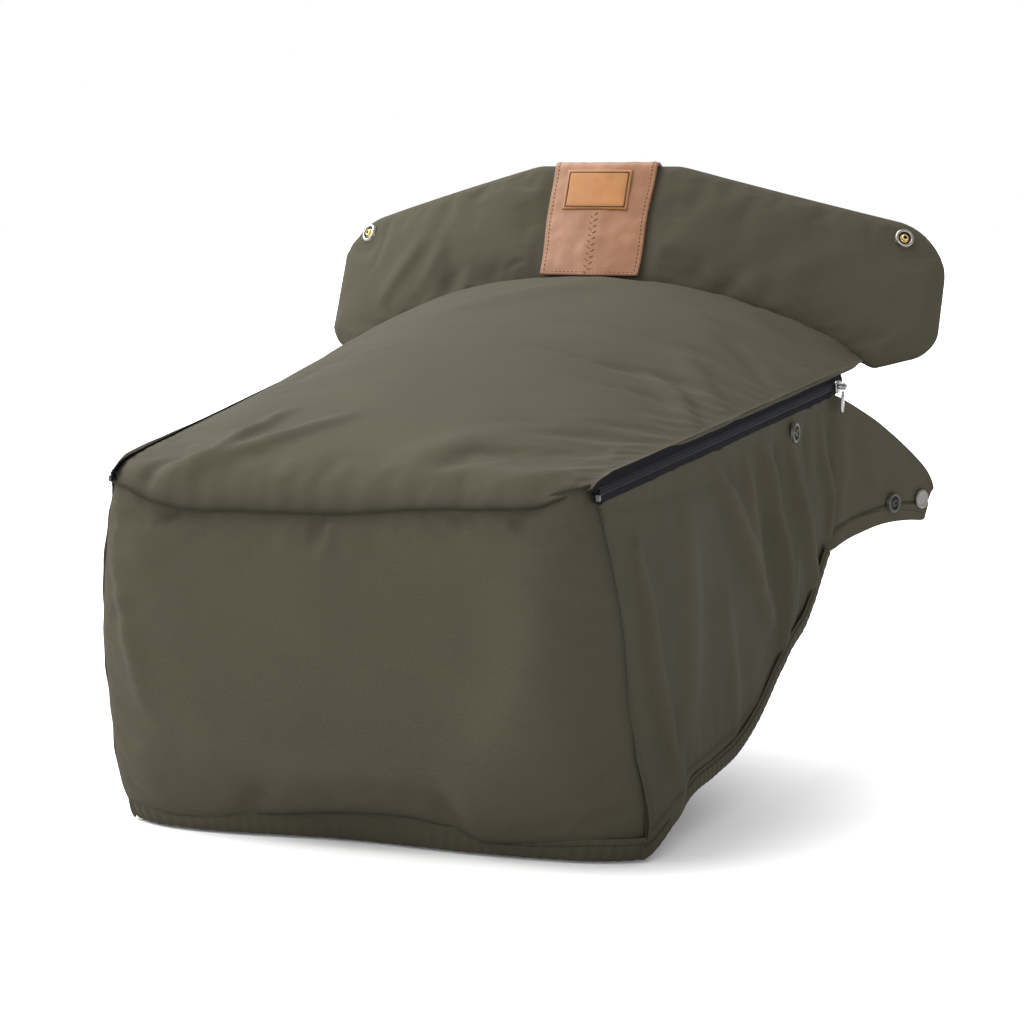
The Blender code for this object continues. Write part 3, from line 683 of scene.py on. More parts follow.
def toe_points(s, share, low=True):
    """Points of the toe panel's face: s from -1 to 1 across it, share from its lower edge to its seam."""
    top = spline(seam_x(s), SEAM_LINE)
    bottom = spline(s * np.where(s < 0, *TOE_LOW_HALF), TOE_LOW) if low else 0.0
    z = lerp(bottom, top, share)
    x = s * np.where(s < 0, toe_half(-1, z), toe_half(1, z))
    bulge = 0.012 * (1 - s**2) * np.sin(pi * np.clip(z / SEAM_Z, 0, 1))
    return points(x, toe_face(z) - bulge + corner(s), z)


def spread(count):
    return np.sin(pi / 2 * np.linspace(-1, 1, count))


def build_toe():
    columns, rows = 112, 76
    s, share = np.meshgrid(spread(columns), np.linspace(0, 1, rows), indexing="ij")
    base = toe_points(s, share)
    out = normals(base, TOWARDS_TOE)
    to_top = (1 - share) * 0.23
    to_low = share * 0.23
    to_side = (1 - np.abs(s)) * 0.175
    seam_roll = 1 - fading(to_top, 0.007)
    puff = 0.0035 * seam_roll - 0.0035 - 0.0026 * fading(to_side, 0.004)
    arch = smooth(1 - np.abs(s + 0.12) / 0.62)
    tuck = fading(to_low, 0.007)
    puff += 0.0040 * arch * band_at(to_low, 0.022, 0.016) - tuck * lerp(0.0015, 0.0045, arch)
    puff += 0.0018 * field(base, 0.075, 1) * np.minimum(1, to_top / 0.03)
    pucker = fading(to_top, 0.009) * field(base * [1, 0, 0], 0.012, 2, 1)
    puff += 0.0028 * pucker
    base[..., 2] += 0.0045 * fading(to_top, 0.0030) * (1 - s**8)
    front = base + out * puff[..., None]
    gap = np.minimum(np.minimum(to_top, to_low), to_side)
    thick = 0.0018 + 0.0062 * (1 - fading(gap, 0.008))
    back = base + out * (np.minimum(puff, 0) - thick)[..., None]
    # Painted shade: darker along the toe seam, the lower edge and the corner seams, and across the toe's
    # right third.
    shade = 1.0 * fading(to_top, 0.0024) + 0.8 * fading(to_low, 0.0035) + 0.9 * fading(to_side, 0.0020)
    shade += 0.26 * smooth((base[..., 0] - 0.105 + 0.12 * (base[..., 2] - 0.12)) / 0.06)
    obj = form("toe_panel_padded", front, back, CANVAS, LINING, shade)
    held = fading(gap, 0.006).ravel()
    settle(obj, np.concatenate([held, held]), 1.2, 0.012, 0.0035)
    crease(obj, out * (2.6 * ridges(base[..., 0], base[..., 2], TOE_FOLDS))[..., None])
    rides(obj, "foot_box", "canvas", "toe_panel", "toe_wadding", "toe_lining")


def band(name, line, out, width, thick, look, upward=None, waves=0.0, cells=6):
    """A folded strip of cloth that hangs from a line; out is its outward direction at each point."""
    line = np.asarray(line, float)
    out = out / np.linalg.norm(out, axis=1, keepdims=True)
    upward = np.broadcast_to(np.asarray(upward, float), line.shape)
    share = np.linspace(0, 1, cells)
    run = np.concatenate([[0], np.linalg.norm(np.diff(line, axis=0), axis=1).cumsum()])
    ripple = waves * np.sin(run * 2 * pi / 0.0085 + 1.3 * np.sin(run * 71))
    width = np.broadcast_to(width, len(line))
    grid = line[:, None] + upward[:, None] * (width[:, None] * share[None])[..., None]
    swell = np.sin(pi * np.clip(share * 0.92 + 0.08, 0, 1)) ** 0.6
    lift = thick / 2 * swell[None] + ripple[:, None] * swell[None]
    front = grid + out[:, None] * lift[..., None]
    back = grid - out[:, None] * (thick / 2 * swell[None] - ripple[:, None] * swell[None])[..., None]
    return form(name, front, back, look, look)


def build_toe_hem():
    s = spread(260)
    base = toe_points(s, np.zeros(len(s)))
    top = spline(s * np.where(s < 0, *TOE_LOW_HALF), TOE_LOW)
    arch = smooth(1 - np.abs(s + 0.12) / 0.62)
    floor = toe_points(s, np.zeros(len(s)), low=False)
    foot = points(floor[:, 0], lerp(base[:, 1], floor[:, 1], 0.6) + 0.0092 * arch + 0.0006, 0.0012)
    head = points(base[:, 0] * 0.998, base[:, 1] + 0.0088 * arch + 0.0004, top + 0.0045)
    out = normals(np.stack([foot, head], 1), TOWARDS_TOE)[:, 0]
    rise = head - foot
    width = np.linalg.norm(rise, axis=1)
    hem = band("toe_hem_band", foot, out, width, 0.0034, CANVAS_SHADED, rise / width[:, None], 0.0005)
    rides(hem, "foot_box", "canvas", "toe_hem_fold", "toe_hem_elastic")
    keep = s > 0.5
    line = (head + out * 0.0012 - [0, 0, 0.0042])[keep]
    sewn = stitches("toe_hem_stitches", line, out[keep], THREAD)
    rides(sewn, "foot_box", "canvas")
    return hem, sewn


# Side panels ----------

SIDE_FOLDS = [
    (4.2, 12, 1.6, [(-118, 262), (-102, 249), (-70, 210), (-21, 151), (8, 122)]),
    (2.6, 9, 1.5, [(-46, 252), (-44, 243), (-37, 207), (-21, 160)]),
    (6.2, 12, 2.4, [(-16, 256), (-11, 244), (3, 203), (23, 164), (30, 131), (34, 88)]),
    (4.6, 10, 2.0, [(40, 250), (43, 240), (63, 196), (91, 146), (98, 124)]),
    (3.6, 7, 1.8, [(101, 258), (105, 241), (127, 201), (128, 160)]),
    (4.0, 8, 1.8, [(-236, 200), (-230, 178), (-216, 123), (-194, 61), (-190, 30)]),
    (2.2, 16, 1.0, [(-151, 225), (-151, 204), (-148, 155), (-165, 73)]),
    (1.8, 12, 1.3, [(-85, 140), (-72, 100), (-66, 50)]),
    (1.6, 8, 1.3, [(60, 160), (56, 130), (52, 100)]),
    (-2.4, 6, 1.0, [(-96, 262), (-84, 244), (-70, 228)]),
    (-2.2, 5, 1.0, [(14, 262), (20, 240), (26, 222)]),
    (-2.0, 5, 1.0, [(72, 262), (80, 236), (86, 220)]),
    (-2.6, 6, 1.0, [(44, 150), (42, 120), (42, 96)]),
]


def build_side(side, sign):
    columns, rows = 150, 84
    u, v = net(columns, rows)
    y_low = lerp(HEM_START_Y, SIDE_END_Y, u)
    low = spline(y_low, SIDE_LOW)
    tape = zip_z(y_low) - TAPE_LAP
    z = lerp(low, tape, v)
    front_y = toe_face(z) + TOE_CORNER - 0.0008
    y = lerp(front_y, SIDE_END_Y + 0.0035, u)
    z = lerp(spline(y, SIDE_LOW), zip_z(y) - TAPE_LAP + 0.0092 * band_at(y, -0.289, 0.014), v)
    base = points(sign * side_x(sign, y, z), y, z)
    out = normals(base, (sign, 0, 0))
    length, height = 0.38, 0.16
    to_front, to_end = u * length, (1 - u) * length
    to_hem, to_zip = v * height, (1 - v) * height
    shift = 0 if sign > 0 else 0.011
    lift = 1.9 * ridges(y + shift, z, SIDE_FOLDS) * smooth(to_front / 0.012)
    lift *= 0.12 + 0.88 * smooth(to_zip / 0.025)
    lift *= 1 - 0.90 * band_at(to_hem, 0, 0.014)
    lift += 0.0016 * field(base, 0.045, 3 + sign) * smooth(to_zip / 0.03)
    pinch = field(points(y, 0 * y, 0 * y + sign), 0.011, 6, 1)
    lift += 0.0009 * pinch * fading(to_zip, 0.012) + 0.0010 * pinch * band_at(to_hem, 0.024, 0.010)
    pouch = band_at(y, -0.196, 0.022) * band_at(z, 0.034, 0.020)
    lift += 0.0035 * pouch
    lift -= 0.0030 * fading(to_front, 0.004)
    front = base + out * lift[..., None]
    gap = np.minimum(np.minimum(to_front, to_end), np.minimum(to_hem, to_zip))
    thick = 0.0012 + 0.0010 * (1 - fading(gap, 0.004))
    back = front - out * thick[..., None]
    # Painted shade: darker along the corner seam and the hem line, and in the fold valleys, leaving the
    # crests lighter.
    shade = 0.9 * fading(to_front, 0.0022) + 0.5 * band_at(to_hem, 0.0135, 0.0015)
    shade += 0.20 * (1 - smooth(lift / 0.0045)) * smooth(to_hem / 0.02)
    obj = form(f"side_panel_gathered_{side}", front, back, CANVAS, LINING, shade)
    rides(obj, "foot_box", "canvas", f"side_panel_{side}", f"side_lining_{side}")

    line_y = np.linspace(HEM_START_Y - 0.0005, SIDE_END_Y, 300)
    line_z = spline(line_y, SIDE_LOW)
    slope = np.gradient(line_z, line_y)
    upward = points(0, -slope, 1) / np.sqrt(1 + slope**2)[:, None]
    x = side_x(sign, line_y, line_z + 0.005)
    ripple = ridges(line_y + shift, line_z + 0.004, SIDE_FOLDS) * 0.14
    tucked = 0.0030 * fading(line_y - line_y[0], 0.004)
    foot = points(sign * (x + ripple + 0.0009 - tucked), line_y, line_z)
    out_line = np.broadcast_to([sign, -SIDE_SPREAD, 0.0], foot.shape)
    hem = band(f"side_hem_band_{side}", foot, out_line, SIDE_HEM_WIDTH, 0.0036, CANVAS_SHADED, upward, 0.0003)
    rides(hem, "foot_box", "canvas", f"side_hem_fold_{side}", f"side_hem_elastic_{side}")
    line = foot + upward * 0.0100 + out_line * 0.0016
    sewn = stitches(f"side_hem_stitches_{side}", line, out_line, THREAD)
    rides(sewn, "foot_box", "canvas")

    height_line = np.linspace(0.014, 0.238, 90)
    seam_y = toe_face(height_line) + TOE_CORNER + 0.0004
    sunk = 0.0009 if sign > 0 else 0.0026
    seam = points(sign * (side_x(sign, seam_y, height_line) - sunk), seam_y, height_line)
    wobble = 0.0007 * np.sin(height_line * 95) + 0.0005 * np.sin(height_line * 230 + sign)
    seam += np.stack([0 * wobble, wobble, 0 * wobble], -1)
    welt = tube(f"corner_welt_{side}", seam, 0.0012, CANVAS_SHADED, 8)
    round_off(welt)
    rides(welt, "foot_box", "canvas")


# Zips ----------


def zip_middle(sign, y, out=0.0):
    return points(sign * (half_width(y) + out), y, zip_z(y))


def tape_strip(name, sign, start, end, inner, outer, out, look):
    """A strip of tape between two heights from the chain's middle, each a function of the share along it."""
    columns, rows = 120, 7
    u, v = net(columns, rows)
    y = lerp(TOE_Y + start, ZIP_END_Y - end, u)
    rise = lerp(inner(u), outer(u), v)
    wavy = 0.0006 * field(points(y, rise, 0 * y + sign), 0.035, 9, 1) * v
    lean = out(u, v) + wavy
    grid = points(sign * (half_width(y) + lean), y, zip_z(y) + rise)
    out_way = normals(grid, (sign, 0, 0))
    return form(name, grid + out_way * 0.0005, grid - out_way * 0.0004, look, look, smoothing=0)


def coil(name, sign, heading, count):
    """Half of the nylon chain: a row of small loops."""
    parts = []
    for k in range(count):
        y = lerp(TOE_Y + 0.0175, ZIP_END_Y - 0.0065, (k + (0.5 if heading > 0 else 0.0)) / count)
        base = zip_middle(sign, np.array(y))
        along = np.array([sign * SIDE_SPREAD, 1, ZIP_RISE])
        along /= np.linalg.norm(along)
        outward = np.array([sign, -SIDE_SPREAD, 0.0])
        up = np.array([0, 0, heading])
        loop = []
        for step in range(7):
            share = step / 6
            proud = 0.0006 + 0.0019 * sin(pi * (0.12 + 0.55 * share))
            loop.append(base + up * (0.0026 - 0.0026 * share) + outward * proud)
        loop = np.array(loop)
        ring = []
        for p, q in zip(loop, np.gradient(loop, axis=0)):
            side = along * 0.00052
            q = q / np.linalg.norm(q)
            depth = np.cross(side, q)
            depth = depth / np.linalg.norm(depth) * 0.0004
            ring.append([p + side, p + depth, p - side, p - depth])
        parts.append((np.array(ring).reshape(-1, 3), sleeve(7, 4)))
    return joined(name, parts, COIL)


def bevelled(obj, width, segments, limit):
    rounding = obj.modifiers.new("bevel", "BEVEL")
    rounding.width, rounding.segments, rounding.limit_method = width, segments, limit
    return obj


def rounded_box(name, size, look, bevel):
    x, y, z = (v / 2 for v in size)
    vertices = [(i * x, j * y, k * z) for i in (-1, 1) for j in (-1, 1) for k in (-1, 1)]
    faces = [(0, 1, 3, 2), (4, 6, 7, 5), (0, 4, 5, 1), (2, 3, 7, 6), (0, 2, 6, 4), (1, 5, 7, 3)]
    obj = new_object(name, vertices, faces, [look])
    return bevelled(obj, bevel, 3, "NONE")


def outline_plate(name, outline, thick, look, bevel):
    """A flat plate in the local YZ plane from an outline of (y, z) points."""
    count = len(outline)
    vertices = [(x, y, z) for x in (-thick / 2, thick / 2) for y, z in outline]
    faces = [tuple(range(count))[::-1], tuple(range(count, 2 * count))]
    faces += [(k, (k + 1) % count, count + (k + 1) % count, count + k) for k in range(count)]
    obj = new_object(name, vertices, faces, [look])
    return bevelled(obj, bevel, 2, "ANGLE")


def slider_frame(sign, y):
    toe_way = Vector((-sign * SIDE_SPREAD, -1.0, -ZIP_RISE)).normalized()
    out = Vector((sign, -SIDE_SPREAD, 0)).normalized()
    out = (out - toe_way * out.dot(toe_way)).normalized()
    up = Vector((0, 0, 1))
    up = (up - toe_way * up.dot(toe_way) - out * up.dot(out)).normalized()
    place = Vector((sign * (half_width(y)), y, zip_z(y)))
    return Matrix.Translation(place) @ Matrix((out, -toe_way, up)).transposed().to_4x4()


def arc(radius, start, end, steps, y=0.0, z=0.0):
    return [(y + radius * cos(lerp(start, end, k / steps)), z + radius * sin(lerp(start, end, k / steps)))
            for k in range(steps + 1)]


def build_zip(side, sign):
    def lower_edge(u):
        return -0.0108 + 0.0075 * fading(u, 0.02)

    lower = tape_strip(f"zip_tape_lower_fine_{side}", sign, 0.014, 0.0, lambda u: 0 * u - 0.0006,
                       lower_edge, lambda u, v: 0.0010 - 0.0030 * v**2, TAPE)
    rides(lower, "foot_box", "zip_tape", f"zip_tape_lower_{side}")

    def upper_edge(u):
        return 0.0080 - 0.0062 * fading(u, 0.02)

    upper = tape_strip(f"zip_tape_upper_fine_{side}", sign, 0.012, -0.011, lambda u: 0 * u + 0.0006,
                       upper_edge, lambda u, v: 0.0010 - 0.0022 * v**2, TAPE)
    wears(upper, "zip_tape", f"zip_tape_upper_{side}")
    opens(upper)
    rides(coil(f"zip_coil_lower_{side}", sign, -1, 330), "foot_box", "zip_chain", f"zip_chain_lower_{side}")
    chain = coil(f"zip_coil_upper_{side}", sign, 1, 330)
    wears(chain, "zip_chain", f"zip_chain_upper_{side}")
    opens(chain)

    stop = rounded_box(f"zip_stop_clip_{side}", (0.0022, 0.0036, 0.0040), GUNMETAL, 0.0005)
    stop.data.transform(slider_frame(sign, TOE_Y + 0.0150) @ Matrix.Translation((0.0022, 0, -0.0030)))
    rides(stop, "foot_box", "zip_metal", f"zip_toe_stop_{side}")

    place = slider_frame(sign, SLIDER_Y)
    shield = [(-0.0062, -0.0034), (-0.0050, -0.0046), (0.0010, -0.0048), (0.0040, -0.0036), (0.0062, -0.0022),
              (0.0062, 0.0022), (0.0040, 0.0036), (0.0010, 0.0048), (-0.0050, 0.0046), (-0.0062, 0.0034)]
    plate = outline_plate(f"zip_slider_shield_{side}", shield, 0.0016, ZINC, 0.0005)
    plate.data.transform(place @ Matrix.Translation((0.0052, 0, 0)))
    rides(plate, f"slider_{side}", "zip_metal", f"zip_slider_{side}")
    bridge = [(0.0036 + 0.0056 * sin(pi * t / 12) ** 0.6, 0.0046 * cos(pi * t / 12), 0) for t in range(13)]
    loop = tube(f"zip_slider_bridge_{side}", bridge, 0.0008, ZINC, 8, 1.4, (0, 0, 1))
    loop.data.transform(place @ Matrix.Translation((0.0018, 0, 0)))
    rides(loop, f"slider_{side}", "zip_metal")

    lean = Matrix.Rotation(radians(-11), 4, "X")
    hang = Matrix.Translation(place @ Vector((0.0090, 0, 0))) @ place.to_3x3().to_4x4()
    bend = [(0.0021 * cos(a), 0, 0.0021 * sin(a)) for a in np.linspace(-1.35, 4.5, 22)]
    eye = tube(f"zip_puller_eye_{side}", bend, 0.0006, ZINC, 8, 3.2, (0, 1, 0))
    eye.data.transform(hang)
    rides(eye, f"puller_{side}", "zip_metal", f"zip_puller_{side}")
    blade = arc(0.0024, 0.15 * pi, 0.85 * pi, 8, 0, -0.0056) + [(-0.0024, -0.0076), (-0.0035, -0.0105)]
    blade += arc(0.0034, pi, 2 * pi, 10, 0, -0.0158) + [(0.0035, -0.0105), (0.0024, -0.0076)]
    tab = outline_plate(f"zip_puller_blade_{side}", blade, 0.0011, ZINC, 0.0003)
    tab.data.transform(hang @ lean)
    rides(tab, f"puller_{side}", "zip_metal")
    # A near-black disc fills the puller's hole: painted shade in place of an opening.
    window = arc(0.0009, 0, 2 * pi, 15, 0, -0.0066)[:-1]
    hole_shade = outline_plate(f"zip_puller_hole_shade_{side}", window, 0.0014, WELL_SHADE_METAL, 0.0001)
    hole_shade.data.transform(hang @ lean)
    rides(hole_shade, f"puller_{side}", "zip_metal")


# Cover ----------

COVER_FOLDS = [
    (3.4, 9, 1.8, [(-118, -298), (-95, -284), (-87, -248), (-77, -209)]),
    (3.0, 10, 1.6, [(-112, -302), (-87, -286), (-57, -262), (-27, -227)]),
    (1.6, 14, 1.0, [(35, -290), (55, -267), (75, -236)]),
    (1.8, 10, 1.4, [(110, -296), (130, -288), (152, -262)]),
    (2.0, 10, 1.4, [(172, -110), (150, -70), (120, -48)]),
    (1.8, 12, 1.3, [(178, -60), (150, -20), (128, 10)]),
    (-2.0, 8, 1.0, [(184, 40), (164, 62), (140, 76)]),
    (-1.6, 12, 1.0, [(-150, -120), (-120, -90), (-100, -50)]),
    (1.6, 18, 1.0, [(-60, 40), (0, 90), (30, 140)]),
    (-2.2, 6, 1.0, [(-139, -306), (-134, -292), (-128, -280)]),
]


COVER_LENGTH = 0.485


def cover_points(s, v):
    """The cover's face before its rolled edges: s from -1 to 1 across, v from the toe seam to the crease."""
    seam = spline(seam_x(s), SEAM_LINE)
    front_y = TOE_Y + corner(s)
    x_rear = s * REAR_HALF_WIDTH
    rear_z = crease_z(x_rear)
    y = lerp(front_y, collar_y(x_rear, rear_z) - 0.0012, v)
    x = s * half_width(y) + (seam_x(s) - s * half_width(front_y)) * smooth(1 - v / 0.35)
    z = lerp(SEAM_Z, rear_z, v) + 0.012 * np.sin(pi * v) * (1 - s**2)
    inward = smooth((np.abs(s) - 0.86) / 0.14) * smooth((v - 0.90) / 0.10)
    return x - np.sign(s) * 0.007 * inward, y + 0.0062 * smooth((v - 0.93) / 0.07), z, seam


def build_cover():
    columns, rows = 118, 132
    s, v = np.meshgrid(spread(columns), np.linspace(0, 1, rows) ** 1.12, indexing="ij")
    x, y, z, seam = cover_points(s, v)
    to_seam, to_crease = v * COVER_LENGTH, (1 - v) * COVER_LENGTH
    to_edge = (1 - np.abs(s)) * half_width(y)
    roll = fading(to_seam, 0.0075)
    z = z - (SEAM_Z - seam) * fading(to_seam, 0.012) - 0.0022 * roll
    y = y - 0.0050 * band_at(to_seam, 0.010, 0.010) * (1 - s**8)
    tape_rise = (zip_z(y) + 0.0080 - z) * fading(to_edge, 0.004)
    z = z + 0.0045 * (1 - fading(to_edge, 0.020)) * smooth(to_seam / 0.02)
    z = z + np.clip(tape_rise, -0.004, 0.004) * smooth(to_seam / 0.03) * smooth(to_crease / 0.03)
    base = points(x, y, z)
    out = normals(base, (0, 0, 1))
    lift = 0.0012 * field(base, 0.110, 11, 1) * smooth(to_seam / 0.03) * smooth(to_edge / 0.03)
    lift += 0.0003 * field(base, 0.035, 12, 1) * smooth(to_seam / 0.02)
    lift += 0.0018 * field(base * [1, 0, 0], 0.013, 13, 1) * fading(to_seam, 0.010)
    lift -= 0.0026 * fading(to_crease, 0.006)
    lift -= 0.0036 * smooth((0.056 - np.abs(x)) / 0.012) * fading(to_crease, 0.009)
    lift += 0.0011 * field(base * [1, 0, 0], 0.016, 14, 1) * fading(to_crease, 0.014)
    front = base + out * lift[..., None]
    gap = np.minimum(np.minimum(to_seam, to_crease), to_edge)
    thick = 0.0018 + 0.0085 * (1 - fading(gap, 0.010))
    down = out * 0.5 + np.array([0, 0, 0.5])
    back = front - down * thick[..., None] - out * 0.0004
    # Painted shade: darker along the toe seam and at the crease.
    shade = 1.0 * fading(to_seam, 0.0026) + 0.6 * fading(to_crease, 0.0022)
    obj = form("cover_padded", front, back, CANVAS, LINING, shade)
    held = fading(gap, 0.006).ravel()
    settle(obj, np.concatenate([held, held]), 1.0, 0.010, 0.0040)
    crease(obj, out * (1.7 * ridges(x, y, COVER_FOLDS) * smooth(to_seam / 0.010))[..., None])
    wears(obj, "canvas", "cover_panel", "cover_wadding", "cover_lining")
    opens(obj)


# Collar ----------

COLLAR_FOLDS = [
    (2.6, 9, 1.6, [(-186, 330), (-170, 352), (-150, 380)]),
    (2.0, 8, 1.4, [(-150, 338), (-140, 356), (-128, 376)]),
    (-2.6, 7, 1.0, [(-130, 334), (-122, 345), (-112, 356)]),
    (-2.2, 7, 1.0, [(-84, 344), (-80, 354), (-74, 362)]),
    (-2.6, 7, 1.0, [(74, 348), (80, 358), (84, 368)]),
    (-2.0, 6, 1.0, [(100, 342), (108, 352), (114, 362)]),
    (1.6, 12, 1.0, [(120, 344), (150, 360), (190, 372)]),
]


def collar_top(x):
    x = np.abs(x)
    over = np.clip(x - (COLLAR_HALF_WIDTH - COLLAR_TOP_ROUND), 0, COLLAR_TOP_ROUND)
    rounding = COLLAR_TOP_ROUND - np.sqrt(COLLAR_TOP_ROUND**2 - over**2)
    return COLLAR_TOP_Z - COLLAR_TOP_SLOPE * np.maximum(0, x - COLLAR_FLAT) - rounding


def collar_bottom(x):
    x = np.abs(x)
    over = np.clip(x - (COLLAR_HALF_WIDTH - COLLAR_LOW_ROUND), 0, COLLAR_LOW_ROUND)
    rounding = COLLAR_LOW_ROUND - np.sqrt(COLLAR_LOW_ROUND**2 - over**2)
    overlap = 0.0030 + 0.0025 * smooth((x - 0.10) / 0.05)
    wing = WING_RISE * np.maximum(0, x - REAR_HALF_WIDTH)
    return crease_z(np.minimum(x, REAR_HALF_WIDTH)) - overlap + wing + rounding


COLLAR_BACK = np.array([0, 1, -LEAN]) / sqrt(1 + LEAN**2)
COLLAR_UP = np.array([0, LEAN, 1]) / sqrt(1 + LEAN**2)


def collar_place(x, z):
    """A point of the collar's front face; the left wing is a little narrower than the right one."""
    narrow = np.where(x < 0, 1 - 0.3 * np.abs(x) ** 2, 1.0)
    return points(x * narrow, collar_y(x, z), z)


def build_collar():
    columns, rows = 150, 50
    u, v = np.meshgrid(spread(columns), np.linspace(0, 1, rows), indexing="ij")
    x = u * COLLAR_HALF_WIDTH
    low, high = collar_bottom(x), collar_top(x)
    z = lerp(low, high, v)
    base = collar_place(x, z)
    out = normals(base, TOWARDS_TOE)
    to_low = v * (high - low) * sqrt(1 + LEAN**2)
    to_top = (1 - v) * (high - low) * sqrt(1 + LEAN**2)
    to_end = (COLLAR_HALF_WIDTH - np.abs(x)) * 1.3
    gap = np.minimum(np.minimum(to_low, to_top), to_end)
    full = 1 - fading(gap, 0.0065)
    lift = 0.0013 * field(base, 0.050, 21) * full + 0.0008 * field(base, 0.022, 22) * fading(to_low, 0.02)
    middle = base + COLLAR_BACK * COLLAR_THICK / 2
    under = smooth((0.052 - np.abs(x)) / 0.012)
    lift *= 1 - under
    half = 0.0010 + (COLLAR_THICK / 2 + lerp(0.0016, -0.0010, under)) * full
    front = middle + out * (half + lift)[..., None]
    back = middle + COLLAR_BACK * (half + 0.0008 * field(base, 0.04, 23))[..., None]
    # Painted shade: darker along the lower edge, where the collar meets the crease.
    shade = 0.55 * fading(to_low, 0.003)
    obj = form("collar_padded", front, back, CANVAS, CANVAS, shade)
    snap_zone = band_at(np.abs(x), COLLAR_SNAP[0], 0.013) * band_at(z, COLLAR_SNAP[1], 0.013)
    front = front - out * (0.0032 * snap_zone)[..., None]
    strap_zone = band_at(np.maximum(0, np.abs(x) - 0.042), 0, 0.006)
    held = np.maximum(np.maximum(fading(gap, 0.005), strap_zone), snap_zone).ravel()
    settle(obj, np.concatenate([held, held]), 1.0, 0.014, 0.0035)
    folds = 1.3 * ridges(x, z, COLLAR_FOLDS) * smooth(gap / 0.01) * (1 - under)
    crease(obj, np.clip(folds, -0.004, 0.004)[..., None] * out)
    wears(obj, "canvas", "collar_front_panel", "collar_wadding", "collar_back_panel")
    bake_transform(obj)


# Strap and label ----------

COLLAR_RISE = (COLLAR_TOP_Z - CREASE_Z) * sqrt(1 + LEAN**2)
STRAP_FACE = 0.0021         # the strap's underside, in front of the collar's face
STRAP_STITCH = (0.0034, 0.0022, 0.0009, 0.0007)         # pitch, length, width and height
LABEL_LEFT, LABEL_RIGHT, LABEL_LOW, LABEL_HIGH = -0.029, 0.024, 0.0575, 0.0915
LABEL_WIDTH, LABEL_HEIGHT, LABEL_LINE_IN = 0.053, 0.034, 0.0024


def strap_section():
    """The strap's run over the collar: (height, depth behind the collar's face, turn) at close steps."""
    front, behind = -STRAP_FACE, COLLAR_THICK + STRAP_FACE
    centre = (front + behind) / 2
    run = [(lerp(0.002, COLLAR_RISE - 0.0065, t), front, 0.0) for t in np.linspace(0, 1, 30)]
    for turn in np.linspace(0, pi, 15)[1:-1]:
        depth = centre - (behind - front) / 2 * cos(turn)
        run.append((COLLAR_RISE - 0.0065 + 0.0072 * sin(turn) ** 0.8, depth, turn))
    run += [(lerp(COLLAR_RISE - 0.0065, COLLAR_RISE - 0.030, t), behind, pi) for t in np.linspace(0, 1, 10)]
    return run


def strap_grid(out, columns=34):
    run = strap_section()
    grid = np.zeros((columns, len(run), 3))
    for j, (height, depth, turn) in enumerate(run):
        half = lerp(0.040, 0.042, min(1.0, height / COLLAR_RISE))
        x = np.linspace(-half, half, columns) + 0.0006 * sin(height * 90)
        facing = -COLLAR_BACK * cos(turn) + COLLAR_UP * sin(turn)
        base = points(x, CREASE_Y + wrap(x), 0 * x + CREASE_Z)
        grid[:, j] = base + COLLAR_UP * height + COLLAR_BACK * depth + facing * out
    return grid, run


